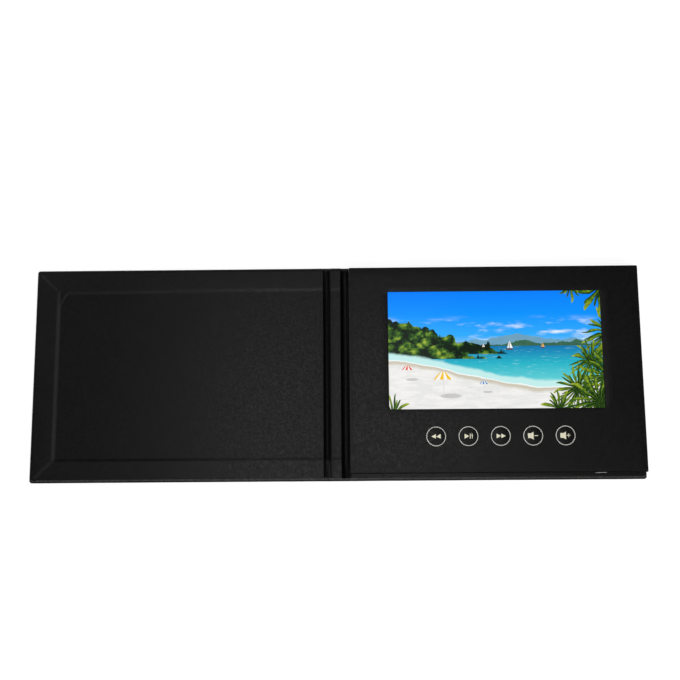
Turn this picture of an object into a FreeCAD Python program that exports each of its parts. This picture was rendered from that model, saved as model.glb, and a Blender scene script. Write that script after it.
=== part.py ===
"""A video brochure: a hard-cover folder whose back half carries a thin box with a screen and five keys.

The folder lies open and flat. X runs from the front cover's fore edge to the back cover's, Y from tail to
head, and Z up. The origin is at the middle of the footprint, on the surface that the covers lie on.
"""
import FreeCAD, Part
import math
import os

Vector = FreeCAD.Vector

# ---------------------------------------------------------------- driving dimensions, in millimetres

# The block, a landscape A5 box that holds the screen
block_length = 210.0
block_width = 149.0
block_height = 8.0
block_corner = 1.0
block_edge = 0.5
card_corner = 0.5

# The case around it
head_margin = 1.6
tail_margin = 5.0
fore_margin = 1.2
cover_corner = 2.0
cover_edge = 0.7
cover_heel = 0.4

# Layers of the case
board_thickness = 1.8
skin_thickness = 0.4
lining_thickness = 0.2
turn_in = 15.0
lining_margin = 2.2
lining_slope = 2.2
board_edge = 0.5
mitre_gap = 0.2
mitre_margin = 1.6

# Running clearances of the soft hinges
closing_gap = 0.35
wall_gap = 0.35
corner_lap = 0.2

# Closing magnet in the front board
magnet_radius = 4.0
magnet_thickness = 1.5
magnet_fit = 0.1

# Layers of the block
block_skin_thickness = 0.25
base_thickness = 1.0
panel_thickness = 0.75
rail_width = 4.0
adhesive_inset = 3.0
pocket_gap = 0.4

# Screen module: a 7 inch panel of 16:9
active_length = 154.2
active_width = 85.9
active_overlap = 0.3
screen_shift_x = 0.1
screen_shift_y = 13.6
module_side = 5.4
module_head = 3.5
module_tail = 10.6
module_height = 3.2
tray_wall = 0.3
gasket_thickness = 0.3
gasket_inset = 0.6
glass_thickness = 1.5
glass_ledge = 5.0
glass_fit = 0.2
flex_width = 16.0
flex_thickness = 0.2
flex_bend = 0.5
flex_reach = 1.2
flex_inset = 10.25

# Keys and the switches under them
key_count = 5
key_pitch = 22.9
key_shift_x = 1.9
key_row_gap = 0.55
key_radius = 7.1
key_fit = 0.15
key_sink = 0.05
flange_width = 0.9
flange_thickness = 0.6
flange_corner = 3.0
key_travel = 0.3
plunger_width = 3.2
plunger_fit = 0.15
plunger_seat = 1.0
switch_size = 6.0
switch_height = 3.5
switch_corner = 0.4
switch_pin = 0.8
switch_pin_reach = 0.4
switch_spare = 0.1

# Circuit boards
circuit_thickness = 1.0
board_corner = 1.0
chip_edge = 0.2
button_board_end = 8.0
button_board_width = 11.0
main_board_lap = 12.0
main_board_clearance = 2.9
tongue_width = 8.0
tongue_back = 0.5
connector_height = 1.5
connector_depth = 4.0
connector_inset = 1.5
connector_wall = 1.0
power_connector_shift = 13.65
power_connector_width = 5.0
ribbon_width = 5.0
ribbon_thickness = 0.3
ribbon_rise = 1.0
ribbon_lap = 4.0
ribbon_inset = 9.15

# Micro socket in the tail wall
socket_shift = 0.15
socket_width = 7.5
socket_height = 2.6
socket_depth = 5.6
socket_wall = 0.3
socket_proud = 0.4
socket_flare = 0.25
socket_lip = 0.6
socket_fit = 0.75
socket_tongue_width = 3.8
socket_tongue_height = 0.6

# Magnet sensor on the main board
sensor_fore_inset = 7.35
sensor_inset = 4.0
sensor_length = 4.0
sensor_width = 3.0
sensor_height = 1.2

# Pouch battery
battery_length = 100.0
battery_width = 70.0
battery_height = 2.3
battery_edge = 0.8
battery_shift_x = -20.0
battery_shift_y = 10.0
battery_tab = 4.0
battery_tab_width = 24.0
battery_tab_height = 1.6

# Speakers, one in each side bay
speaker_length = 30.0
speaker_width = 15.0
speaker_height = 4.0
speaker_rim = 0.8
speaker_shift_y = 8.0
speaker_corner = 3.0
speaker_magnet_radius = 4.5
speaker_magnet_height = 1.6
cone_thickness = 0.4
cone_drop = 0.8
cone_dome = 0.6
cone_surround = 3.0

# Leads
lead_radius = 0.5
lead_sides = 6
lead_gap = 0.2
speaker_lead_bend = 2.5
battery_lead_bend = 1.2
lead_rise = 3.5
lead_row_inset = 7.85
lead_landing = 1.5
lead_clearance = 1.0

# ---------------------------------------------------------------- what follows from them

# Heights of the case's layers
board_bottom = skin_thickness
board_top = board_bottom + board_thickness
turn_in_top = board_top + skin_thickness
cover_middle = board_top + lining_thickness
cover_top = turn_in_top + lining_thickness
strip_top = skin_thickness + lining_thickness
hinge_height = strip_top / 2

# Grooves and spine: wide enough for the covers to close flat over the block
hinge_spacing = block_height + 2 * cover_top + closing_gap - 2 * hinge_height
back_groove = 2 * (cover_top - hinge_height + wall_gap)
front_groove = 2 * (cover_top - hinge_height - corner_lap)
spine_width = hinge_spacing - back_groove / 2 - front_groove / 2

# Places along X, first from the block's middle and then from the middle of the open case
fore_reach = block_length / 2 + fore_margin
back_hinge_reach = block_length / 2 + back_groove / 2
cover_reach = fore_reach + back_hinge_reach
block_x = (cover_reach + hinge_spacing + back_hinge_reach - fore_reach) / 2
back_fore_x = block_x + fore_reach
back_hinge_x = block_x - back_hinge_reach
front_hinge_x = back_hinge_x - hinge_spacing
front_fore_x = front_hinge_x - cover_reach
back_inner_x = back_hinge_x + back_groove / 2
spine_back_x = back_hinge_x - back_groove / 2
spine_front_x = front_hinge_x + front_groove / 2
front_inner_x = front_hinge_x - front_groove / 2

# Places along Y
case_width = block_width + head_margin + tail_margin
tail_y = -case_width / 2
head_y = case_width / 2
block_y = (tail_margin - head_margin) / 2

# Sides of the block, outside and inside its skin
block_left = block_x - block_length / 2
block_right = block_x + block_length / 2
block_tail = block_y - block_width / 2
block_head = block_y + block_width / 2
card_left = block_left + block_skin_thickness
card_right = block_right - block_skin_thickness
card_tail = block_tail + block_skin_thickness
card_head = block_head - block_skin_thickness

# Heights in the block
base_top = cover_top + base_thickness
block_top = cover_top + block_height
panel_top = block_top - block_skin_thickness
panel_bottom = panel_top - panel_thickness
glass_top = panel_bottom - gasket_thickness
module_bottom = glass_top - module_height

# Screen outline
screen_x = block_x + screen_shift_x
screen_y = block_y + screen_shift_y
module_left = screen_x - active_length / 2 - module_side
module_right = screen_x + active_length / 2 + module_side
module_tail_y = screen_y - active_width / 2 - module_tail
module_head_y = screen_y + active_width / 2 + module_head
window_half_length = active_length / 2 - active_overlap
window_half_width = active_width / 2 - active_overlap
flex_middle_x = module_right - flex_inset

# Keys
flange_reach = key_radius + flange_width
key_y = module_tail_y - flange_reach - key_row_gap
key_middle_x = block_x + key_shift_x
key_xs = [key_middle_x + (index - (key_count - 1) / 2) * key_pitch for index in range(key_count)]
key_names = ["rewind_key", "play_key", "forward_key", "volume_down_key", "volume_up_key"]
flange_bottom = panel_bottom - flange_thickness
switch_bottom = base_top + circuit_thickness
switch_top = switch_bottom + switch_height
plunger_bottom = switch_top - plunger_seat

# Main board, in the tail bay beside the keys
rail_inner_tail = card_tail + rail_width
rail_inner_right = card_right - rail_width
main_board_top = base_top + circuit_thickness
main_board_right = rail_inner_right - pocket_gap
main_board_left = flex_middle_x - main_board_lap
main_board_tail = rail_inner_tail + pocket_gap
main_board_head = module_tail_y - main_board_clearance
socket_mid_x = flex_middle_x + socket_shift
socket_mouth_y = block_tail - socket_proud
sensor_mid_x = main_board_right - sensor_fore_inset
sensor_mid_y = main_board_tail + sensor_inset

TOLERANCE = 1e-4


# ---------------------------------------------------------------- helpers

def box(x0, x1, y0, y1, z0, z1):
    """A block between two corners, given in any order."""
    low = Vector(min(x0, x1), min(y0, y1), min(z0, z1))
    return Part.makeBox(abs(x1 - x0), abs(y1 - y0), abs(z1 - z0), low)


def disc(x, y, z0, z1, radius):
    """An upright cylinder."""
    return Part.makeCylinder(radius, z1 - z0, Vector(x, y, z0))


def post(x, y, z0, z1, width):
    """An upright square bar."""
    half = width / 2
    return box(x - half, x + half, y - half, y + half, z0, z1)


def upright_edges(solid, at_x=None):
    """The edges that run straight up, all of them or only those at one x."""
    chosen = []
    for edge in solid.Edges:
        first, last = edge.Vertexes[0].Point, edge.Vertexes[-1].Point
        upright = abs(first.x - last.x) < TOLERANCE and abs(first.y - last.y) < TOLERANCE
        placed = at_x is None or abs(first.x - at_x) < TOLERANCE
        if upright and placed and abs(first.z - last.z) > TOLERANCE:
            chosen.append(edge)
    return chosen


def level_edges(solid, z, open_x=None):
    """The edges round the solid at one height, without the one on an open end."""
    chosen = []
    for edge in solid.Edges:
        level = all(abs(vertex.Z - z) < TOLERANCE for vertex in edge.Vertexes)
        on_end = open_x is not None and all(abs(vertex.X - open_x) < TOLERANCE for vertex in edge.Vertexes)
        if level and not on_end:
            chosen.append(edge)
    return chosen


def rounded_plate(x0, x1, y0, y1, z0, z1, corner):
    """A plate with its four upright corners rounded."""
    plate = box(x0, x1, y0, y1, z0, z1)
    return plate.makeFillet(corner, upright_edges(plate))


def ridge_cutter(x, z, radius, side, y0, y1):
    """What comes off a long edge at (x, z) when it is rounded; the solid lies on the given side of x."""
    centre_x = x + side * radius
    centre_z = z - radius
    corner = box(x - side * radius, centre_x, y0, y1, centre_z, z + radius)
    keep = Part.makeCylinder(radius, y1 - y0, Vector(centre_x, y0, centre_z), Vector(0, 1, 0))
    return corner.cut(keep)


def rounded_path(points, radius):
    """Straight runs joined by tangent arcs."""
    edges = []
    start = points[0]
    for before, corner, after in zip(points, points[1:], points[2:]):
        to_before = (before - corner).normalize()
        to_after = (after - corner).normalize()
        half = to_before.getAngle(to_after) / 2
        first = corner + to_before * (radius / math.tan(half))
        last = corner + to_after * (radius / math.tan(half))
        middle = corner + (to_before + to_after).normalize() * (radius / math.sin(half) - radius)
        edges.append(Part.makeLine(start, first))
        edges.append(Part.Arc(first, middle, last).toShape())
        start = last
    edges.append(Part.makeLine(start, points[-1]))
    return Part.Wire(edges)


def lead(points, bend):
    """An insulated wire along a path that sets out level; six flats stand for its round section."""
    across = (points[1] - points[0]).cross(Vector(0, 0, 1)).normalize()
    rim = []
    for turn in range(lead_sides):
        angle = math.pi * (2 * turn + 1) / lead_sides
        rim.append(points[0] + across * (lead_radius * math.cos(angle))
                   + Vector(0, 0, lead_radius * math.sin(angle)))
    return rounded_path(points, bend).makePipe(Part.Face(Part.makePolygon(rim + rim[:1])))


def shifted_route(points, step):
    """The route moved aside, with its two ends still in their own planes."""
    first_run = (points[1] - points[0]).normalize()
    last_run = (points[-1] - points[-2]).normalize()
    moved = [point + step for point in points]
    moved[0] = moved[0] - first_run * step.dot(first_run)
    moved[-1] = moved[-1] - last_run * step.dot(last_run)
    return moved


def lead_pair(points, aside, bend):
    """Two wires side by side."""
    step = aside * (lead_radius + lead_gap / 2)
    return [lead(shifted_route(points, step), bend), lead(shifted_route(points, step * -1), bend)]


def flat_cable(points, across, thickness, bend):
    """A flat cable of even thickness, as wide as the given vector, whose middle follows the points."""
    up = Vector(across).normalize().cross((points[1] - points[0]).normalize()) * thickness
    start = points[0] - up * 0.5 - across * 0.5
    corners = [start, start + across, start + across + up, start + up, start]
    return rounded_path(points, bend).makePipe(Part.Face(Part.makePolygon(corners)))


# ---------------------------------------------------------------- the case

def cover_half(fore_x, inner_x):
    """Board, leatherette wrap and lining of one cover, between its fore edge and its hinge groove."""
    side = 1 if fore_x > inner_x else -1
    lined_x = inner_x + side * lining_thickness
    inner_fore_x = fore_x - side * turn_in
    inner_tail_y = tail_y + turn_in
    inner_head_y = head_y - turn_in

    blank = box(fore_x - side * skin_thickness, lined_x, tail_y + skin_thickness, head_y - skin_thickness,
                board_bottom, board_top)
    board_corners = upright_edges(blank, fore_x - side * skin_thickness)
    blank = blank.makeFillet(cover_corner - skin_thickness, board_corners)
    board = blank.cut(ridge_cutter(lined_x, board_top, board_edge, side, tail_y, head_y))

    wrap = box(fore_x, inner_x, tail_y, head_y, 0, turn_in_top)
    wrap = wrap.makeFillet(cover_corner, upright_edges(wrap, fore_x))
    wrap = wrap.makeFillet(cover_edge, level_edges(wrap, turn_in_top, inner_x))
    wrap = wrap.makeChamfer(cover_heel, level_edges(wrap, 0, inner_x))
    wrap = wrap.cut(box(inner_fore_x, inner_x, inner_tail_y, inner_head_y, board_top, cover_top))
    wrap = wrap.cut(box(lined_x, inner_x, tail_y, head_y, board_bottom, cover_top))
    wrap = wrap.cut(ridge_cutter(lined_x, turn_in_top, board_edge, side, tail_y, head_y))
    for edge_y, turned_y in ((tail_y, inner_tail_y), (head_y, inner_head_y)):
        wrap = wrap.cut(mitre_slot(fore_x, edge_y, inner_fore_x, turned_y))
    wrap = wrap.cut(blank)

    lining = box(fore_x - side * lining_margin, inner_x, tail_y + lining_margin, head_y - lining_margin,
                 board_top, cover_top)
    lining = lining.cut(lining_tray(inner_fore_x, inner_x, inner_tail_y, inner_head_y, side))
    lining = lining.fuse(box(lined_x, inner_x, tail_y + lining_margin, head_y - lining_margin,
                             board_bottom, board_top))
    lining = rounded_lining(lining, inner_x, side)
    lining = lining.cut(wrap).cut(board).removeSplitter()
    return board, wrap, lining


def rounded_lining(lining, x, side):
    """The lining with its edge along a groove rounded, over the turn-ins and between them."""
    lining = lining.cut(ridge_cutter(x, cover_top, cover_edge, side, tail_y, head_y))
    low_tail = tail_y + turn_in + lining_slope
    low_head = head_y - turn_in - lining_slope
    return lining.cut(ridge_cutter(x, cover_middle, cover_edge, side, low_tail, low_head))


def mitre_slot(fore_x, edge_y, inner_fore_x, turned_y):
    """The line where two turn-ins meet on a cover's corner."""
    along = Vector(inner_fore_x - fore_x, turned_y - edge_y, 0)
    reach = along.Length
    slot = box(mitre_margin * math.sqrt(2), reach + mitre_gap, -mitre_gap / 2, mitre_gap / 2,
               board_top, cover_top)
    slot.rotate(Vector(0, 0, 0), Vector(0, 0, 1), math.degrees(math.atan2(along.y, along.x)))
    slot.translate(Vector(fore_x, edge_y, 0))
    return slot


def lining_tray(inner_fore_x, inner_x, inner_tail_y, inner_head_y, side):
    """The shallow hollow inside the turn-ins, with sloping sides, open towards the hinge."""
    past = inner_x - side * lining_slope

    def outline(grow, z):
        corners = [(inner_fore_x + side * grow, inner_tail_y - grow), (past, inner_tail_y - grow),
                   (past, inner_head_y + grow), (inner_fore_x + side * grow, inner_head_y + grow)]
        points = [Vector(x, y, z) for x, y in corners]
        return Part.makePolygon(points + points[:1])

    return Part.makeLoft([outline(-lining_slope, cover_middle), outline(0, cover_top)], True, True)


def spine_half():
    """Board, wrap and lining of the spine."""
    lined_front = spine_front_x + lining_thickness
    lined_back = spine_back_x - lining_thickness
    inner_tail_y = tail_y + turn_in
    inner_head_y = head_y - turn_in

    blank = box(lined_front, lined_back, tail_y + skin_thickness, head_y - skin_thickness,
                board_bottom, board_top)
    board = blank
    for x, side in ((lined_front, 1), (lined_back, -1)):
        board = board.cut(ridge_cutter(x, board_top, board_edge, side, tail_y, head_y))

    wrap = box(lined_front, lined_back, tail_y, head_y, 0, turn_in_top)
    wrap = wrap.fuse(box(spine_front_x, spine_back_x, tail_y, head_y, 0, board_bottom)).removeSplitter()
    for y in (tail_y, head_y):
        ends = [edge for edge in wrap.Edges if all(abs(vertex.Y - y) < TOLERANCE for vertex in edge.Vertexes)
                and (all(vertex.Z < TOLERANCE for vertex in edge.Vertexes)
                     or all(vertex.Z > turn_in_top - TOLERANCE for vertex in edge.Vertexes))]
        wrap = wrap.makeFillet(skin_thickness * 0.9, ends)
    wrap = wrap.cut(box(spine_front_x, spine_back_x, inner_tail_y, inner_head_y, board_top, cover_top))
    for x, side in ((lined_front, 1), (lined_back, -1)):
        wrap = wrap.cut(ridge_cutter(x, turn_in_top, board_edge, side, tail_y, head_y))
    wrap = wrap.cut(blank)

    lining = box(spine_front_x, spine_back_x, tail_y + lining_margin, head_y - lining_margin,
                 board_bottom, cover_top)
    hollow = [Vector(spine_front_x - 1, y, z) for y, z in
              ((inner_tail_y + lining_slope, cover_middle), (inner_head_y - lining_slope, cover_middle),
               (inner_head_y, cover_top), (inner_head_y, cover_top + 1), (inner_tail_y, cover_top + 1),
               (inner_tail_y, cover_top))]
    tray = Part.Face(Part.makePolygon(hollow + hollow[:1])).extrude(Vector(spine_width + 2, 0, 0))
    lining = lining.cut(tray)
    for x, side in ((spine_front_x, 1), (spine_back_x, -1)):
        lining = rounded_lining(lining, x, side)
    lining = lining.cut(wrap).cut(board).removeSplitter()
    return board, wrap, lining


def hinge_strip(x0, x1):
    """Skin and lining glued together in a groove, doubled where the skin is turned in."""
    strip = box(x0, x1, tail_y, head_y, 0, strip_top)
    for outer_y, inner_y in ((tail_y, tail_y + turn_in), (head_y, head_y - turn_in)):
        strip = strip.fuse(box(x0, x1, outer_y, inner_y, 0, strip_top + skin_thickness))
    strip = strip.removeSplitter()
    for y in (tail_y, head_y):
        ends = [edge for edge in strip.Edges if all(abs(vertex.Y - y) < TOLERANCE for vertex in edge.Vertexes)
                and abs(edge.Vertexes[0].Z - edge.Vertexes[-1].Z) < TOLERANCE]
        strip = strip.makeFillet(skin_thickness, ends)
    return strip


def closing_magnet():
    """The magnet in the front board, placed to meet the sensor when the cover is closed."""
    closed_reach = sensor_mid_x - back_hinge_x
    return disc(front_hinge_x - closed_reach, sensor_mid_y, board_top - magnet_thickness, board_top,
                magnet_radius)


# ---------------------------------------------------------------- the block

def window(extra, z0, z1):
    """The opening over the picture, larger by some extra on each side."""
    return box(screen_x - window_half_length - extra, screen_x + window_half_length + extra,
               screen_y - window_half_width - extra, screen_y + window_half_width + extra, z0, z1)


def with_key_holes(sheet):
    """The sheet with its row of round key holes."""
    for x in key_xs:
        sheet = sheet.cut(disc(x, key_y, cover_top, block_top + 1, key_radius + key_fit))
    return sheet


def card_plate(z0, z1):
    """A sheet of card that fills the skin from side to side, with its corners clipped."""
    plate = box(card_left, card_right, card_tail, card_head, z0, z1)
    return plate.makeChamfer(card_corner, upright_edges(plate))


def block_skin():
    """Leatherette folded over the face and down the four sides."""
    skin = rounded_plate(block_left, block_right, block_tail, block_head, cover_top, block_top, block_corner)
    skin = skin.makeFillet(block_edge, level_edges(skin, block_top))
    skin = skin.cut(card_plate(cover_top, panel_top))
    skin = skin.fuse(window(block_skin_thickness, panel_bottom, block_top)).removeSplitter()
    skin = with_key_holes(skin.cut(window(0, panel_bottom - 1, block_top + 1)))
    return skin.cut(socket_port(block_tail - 1, card_tail + TOLERANCE))


def socket_port(y0, y1):
    """The rounded hole in the tail wall that a plug passes through."""
    middle_z = main_board_top + socket_height / 2
    half_width = socket_width / 2 + socket_fit
    half_height = socket_height / 2 + socket_fit / 2
    port = box(socket_mid_x - half_width, socket_mid_x + half_width, y0, y1,
               middle_z - half_height, middle_z + half_height)
    long_edges = [edge for edge in port.Edges if abs(edge.Vertexes[0].Y - edge.Vertexes[-1].Y) > TOLERANCE]
    return port.makeFillet(half_height / 2, long_edges)


def face_panel():
    """The card under the face, with its window and key holes."""
    panel = card_plate(panel_bottom, panel_top)
    return with_key_holes(panel.cut(window(block_skin_thickness, panel_bottom - 1, panel_top + 1)))


def rails():
    """The four strips of card between the base and the face."""
    ring = card_plate(base_top, panel_bottom)
    head_inner = module_head_y + pocket_gap
    notch_half = socket_width / 2 + socket_fit
    notch_top = main_board_top + socket_height + socket_fit / 2
    tail = ring.common(box(card_left, card_right, card_tail, rail_inner_tail, base_top, panel_bottom))
    tail = tail.cut(box(socket_mid_x - notch_half, socket_mid_x + notch_half,
                        card_tail - 1, rail_inner_tail + 1, base_top, notch_top))
    head = ring.common(box(card_left, card_right, head_inner, card_head, base_top, panel_bottom))
    hinge = box(card_left, card_left + rail_width, rail_inner_tail, head_inner, base_top, panel_bottom)
    fore = box(rail_inner_right, card_right, rail_inner_tail, head_inner, base_top, panel_bottom)
    return {"tail_rail": tail, "head_rail": head, "hinge_rail": hinge, "fore_rail": fore}


def block_adhesive():
    """The sheet of adhesive that holds the block between the back cover's turn-ins."""
    inset = turn_in + lining_slope + adhesive_inset
    return box(back_inner_x + adhesive_inset, back_fore_x - inset, tail_y + inset, head_y - inset,
               cover_middle, cover_top)


def foam_core():
    """Die-cut foam that carries the screen, with a pocket for the battery and a channel for its leads."""
    core = box(module_left, module_right, module_tail_y, module_head_y, base_top, module_bottom)
    x0, x1, y0, y1 = battery_outline()
    core = core.cut(box(x0 - pocket_gap, x1 + pocket_gap, y0 - pocket_gap, y1 + pocket_gap,
                        base_top, module_bottom))
    core = core.cut(box(x1 - battery_tab_width - pocket_gap, x1 + pocket_gap,
                        y0 - battery_tab - pocket_gap, y0, base_top, module_bottom))
    channel = lead_channel()
    return core.cut(box(channel[0], channel[1], module_tail_y - 1, y0 + 1, base_top, module_bottom))


# ---------------------------------------------------------------- the screen

def screen_tray():
    """The steel tray round the backlight and the glass, notched for the flat cable."""
    tray = box(module_left, module_right, module_tail_y, module_head_y, module_bottom, glass_top)
    tray = tray.cut(box(module_left + tray_wall, module_right - tray_wall, module_tail_y + tray_wall,
                        module_head_y - tray_wall, module_bottom + tray_wall, glass_top))
    notch = flex_width / 2 + pocket_gap
    return tray.cut(box(flex_middle_x - notch, flex_middle_x + notch, module_tail_y - 1, module_tail_y + 1,
                        glass_top - glass_thickness, glass_top))


def backlight():
    """The light guide and its films, which fill the tray under the glass."""
    return box(module_left + tray_wall, module_right - tray_wall, module_tail_y + tray_wall,
               module_head_y - tray_wall, module_bottom + tray_wall, glass_top - glass_thickness)


def screen_glass():
    """Two bonded panes; the lower one juts out at the tail, where the flat cable is bonded on."""
    inset = tray_wall + glass_fit
    half = glass_top - glass_thickness / 2
    lower = box(module_left + inset, module_right - inset, module_tail_y + inset, module_head_y - inset,
                glass_top - glass_thickness, half)
    upper = box(module_left + inset, module_right - inset, module_tail_y + inset + glass_ledge,
                module_head_y - inset, half, glass_top)
    return lower.fuse(upper)


def screen_gasket():
    """The foam frame between the glass and the face panel."""
    inset = tray_wall + glass_fit
    frame = box(module_left + inset, module_right - inset, module_tail_y + inset + glass_ledge,
                module_head_y - inset, glass_top, panel_bottom)
    return frame.cut(window(gasket_inset, glass_top - 1, panel_bottom + 1))


def screen_cable():
    """The flat cable from the glass ledge, down past the tray and into its connector."""
    x = flex_middle_x
    ledge_z = glass_top - (glass_thickness - flex_thickness) / 2
    low_z = main_board_top + connector_height / 2
    drop_y = module_tail_y - flex_reach
    points = [Vector(x, module_tail_y + glass_ledge / 2, ledge_z), Vector(x, drop_y, ledge_z),
              Vector(x, drop_y, low_z), Vector(x, main_board_head - connector_inset, low_z)]
    return flat_cable(points, Vector(flex_width, 0, 0), flex_thickness, flex_bend)


# ---------------------------------------------------------------- keys and switches

def key_cap(x):
    """A round key, held under the face panel by its flange, a square with clipped corners."""
    flange = post(x, key_y, flange_bottom, panel_bottom, 2 * flange_reach)
    flange = flange.makeChamfer(flange_corner, upright_edges(flange))
    return flange.fuse(disc(x, key_y, flange_bottom, block_top - key_sink, key_radius)).removeSplitter()


def plunger(x):
    """The square pin of the switch under a key."""
    return post(x, key_y, plunger_bottom, flange_bottom, plunger_width)


def switch_body(x):
    """A push switch with its four pins."""
    half = switch_size / 2
    body = box(x - half, x + half, key_y - half, key_y + half, switch_bottom, switch_top)
    body = body.makeChamfer(switch_corner, upright_edges(body))
    for side in (-1, 1):
        for row in (-1, 1):
            pin_y = key_y + row * switch_size * 3 / 8
            body = body.fuse(box(x + side * (half - switch_pin_reach), x + side * (half + switch_pin_reach),
                                 pin_y - switch_pin / 2, pin_y + switch_pin / 2,
                                 switch_bottom, switch_bottom + switch_pin))
    floor = plunger_bottom - key_travel - switch_spare
    return body.cut(post(x, key_y, floor, switch_top + 1, plunger_width + 2 * plunger_fit))


def button_board():
    """The board that carries the five switches."""
    return box(key_xs[0] - button_board_end, key_xs[-1] + button_board_end, key_y - button_board_width / 2,
               key_y + button_board_width / 2, base_top, switch_bottom)


def button_ribbon():
    """The short ribbon from the button board to the main board, with a little slack."""
    y = main_board_head - ribbon_inset
    low = switch_bottom + ribbon_thickness / 2
    high = low + ribbon_rise
    x0 = key_xs[-1] + button_board_end
    x1 = main_board_left
    third = (x1 - x0) / 3
    points = [Vector(x0 - ribbon_lap, y, low), Vector(x0, y, low), Vector(x0 + third, y, high),
              Vector(x1 - third, y, high), Vector(x1, y, low), Vector(x1 + ribbon_lap, y, low)]
    return flat_cable(points, Vector(0, ribbon_width, 0), ribbon_thickness, ribbon_thickness)


# ---------------------------------------------------------------- electronics

def main_board():
    """The main board, with a tongue that carries the socket through the tail rail."""
    board = rounded_plate(main_board_left, main_board_right, main_board_tail, main_board_head,
                          base_top, main_board_top, board_corner)
    tongue = box(socket_mid_x - tongue_width / 2, socket_mid_x + tongue_width / 2,
                 card_tail + tongue_back, main_board_tail + 1, base_top, main_board_top)
    return board.fuse(tongue).removeSplitter()


def board_chips():
    """Processor, memory, power chip and coils, each (across, up, length, width, height) on the board."""
    chips = ((20.0, 12.0, 10.0, 10.0, 1.2), (33.0, 14.0, 9.0, 12.0, 1.0), (5.5, 5.0, 4.0, 4.0, 0.9),
             (5.5, 11.5, 5.0, 5.0, 2.0), (26.0, 3.5, 4.0, 4.0, 1.8))
    shapes = []
    for across, up, length, width, height in chips:
        x = main_board_left + across
        y = main_board_tail + up
        chip = box(x - length / 2, x + length / 2, y - width / 2, y + width / 2,
                   main_board_top, main_board_top + height)
        shapes.append(chip.makeChamfer(chip_edge, level_edges(chip, main_board_top + height)))
    return shapes


def board_connectors():
    """The sockets of the screen cable and the battery leads."""
    head = main_board_head - connector_inset
    shapes = []
    for x, width in ((flex_middle_x, flex_width + 2 * connector_wall),
                     (flex_middle_x + power_connector_shift, power_connector_width)):
        shapes.append(box(x - width / 2, x + width / 2, head - connector_depth, head,
                          main_board_top, main_board_top + connector_height))
    return shapes


def magnet_sensor():
    """The sensor that tells when the cover is closed."""
    return box(sensor_mid_x - sensor_length / 2, sensor_mid_x + sensor_length / 2,
               sensor_mid_y - sensor_width / 2, sensor_mid_y + sensor_width / 2,
               main_board_top, main_board_top + sensor_height)


def socket_section(grow, y):
    """The outline of the micro socket, narrower at its foot, larger by some growth all round."""
    top = main_board_top + socket_height + grow
    foot = main_board_top - grow
    middle = main_board_top + socket_height / 2
    half = socket_width / 2 + grow
    slope = socket_height / 3
    corners = [(-half + slope, foot), (half - slope, foot), (half, middle), (half, top), (-half, top),
               (-half, middle)]
    points = [Vector(socket_mid_x + x, y, z) for x, z in corners]
    return Part.makePolygon(points + points[:1])


def micro_socket():
    """The micro socket for charging and files: a folded shell with a flared mouth and a tongue."""
    back_y = socket_mouth_y + socket_depth
    lip_y = socket_mouth_y + socket_lip
    depth = Vector(0, socket_depth, 0)
    shell = Part.Face(socket_section(0, socket_mouth_y)).extrude(depth)
    lip = [socket_section(socket_flare, socket_mouth_y), socket_section(0, lip_y)]
    flare = Part.makeLoft(lip, True, True)
    cavity = Part.Face(socket_section(-socket_wall, socket_mouth_y)).extrude(depth)
    cavity.translate(Vector(0, -socket_wall, 0))
    mouth = Part.makeLoft([socket_section(socket_flare - socket_wall, socket_mouth_y - TOLERANCE),
                           socket_section(-socket_wall, lip_y)], True, True)
    middle = main_board_top + socket_height / 2
    tongue = box(socket_mid_x - socket_tongue_width / 2, socket_mid_x + socket_tongue_width / 2,
                 lip_y, back_y, middle, middle + socket_tongue_height)
    return shell.fuse(flare).cut(cavity).cut(mouth).fuse(tongue).removeSplitter()


def battery_outline():
    """The four sides of the pouch."""
    x = block_x + battery_shift_x
    y = block_y + battery_shift_y
    return x - battery_length / 2, x + battery_length / 2, y - battery_width / 2, y + battery_width / 2


def battery_lead_x():
    """Where the leads leave the battery's circuit strip."""
    return battery_outline()[1] - battery_tab_width / 2


def battery():
    """The pouch cell with its circuit strip along one end."""
    x0, x1, y0, y1 = battery_outline()
    top = base_top + battery_height
    pouch = box(x0, x1, y0, y1, base_top, top)
    pouch = pouch.makeChamfer(battery_edge, upright_edges(pouch) + level_edges(pouch, top))
    return pouch.fuse(box(x1 - battery_tab_width, x1, y0 - battery_tab, y0 + 1,
                          base_top, base_top + battery_tab_height)).removeSplitter()


def lead_channel():
    """The two sides of the channel that the battery leads lie in."""
    reach = 2 * lead_radius + lead_gap / 2 + pocket_gap
    return battery_lead_x() - reach, battery_lead_x() + reach


def battery_leads():
    """Two wires from the battery, under the screen cable and into their connector."""
    x = battery_lead_x()
    low = base_top + lead_radius
    high = main_board_top + connector_height / 2
    row = (module_tail_y + main_board_head) / 2
    past_cable = flex_middle_x + flex_width / 2 + lead_gap
    end_x = flex_middle_x + power_connector_shift
    tab_y = battery_outline()[2] - battery_tab
    points = [Vector(x, tab_y, low), Vector(x, row, low), Vector(past_cable, row, low),
              Vector(past_cable + lead_rise, row, high), Vector(end_x, row, high),
              Vector(end_x, main_board_head - connector_inset, high)]
    return lead_pair(points, Vector(1, 1, 0), battery_lead_bend)


def speaker_places():
    """The middle of each speaker, in the bays at the two sides of the screen."""
    left = (card_left + rail_width + module_left) / 2
    right = (card_right - rail_width + module_right) / 2
    return [(left, block_y + speaker_shift_y), (right, block_y + speaker_shift_y)]


def speaker_plate(x, y, inset, z0, z1):
    """A plate of the speaker's outline, smaller by an inset."""
    half_x = speaker_width / 2 - inset
    half_y = speaker_length / 2 - inset
    return rounded_plate(x - half_x, x + half_x, y - half_y, y + half_y, z0, z1, speaker_corner - inset * 0.8)


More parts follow.
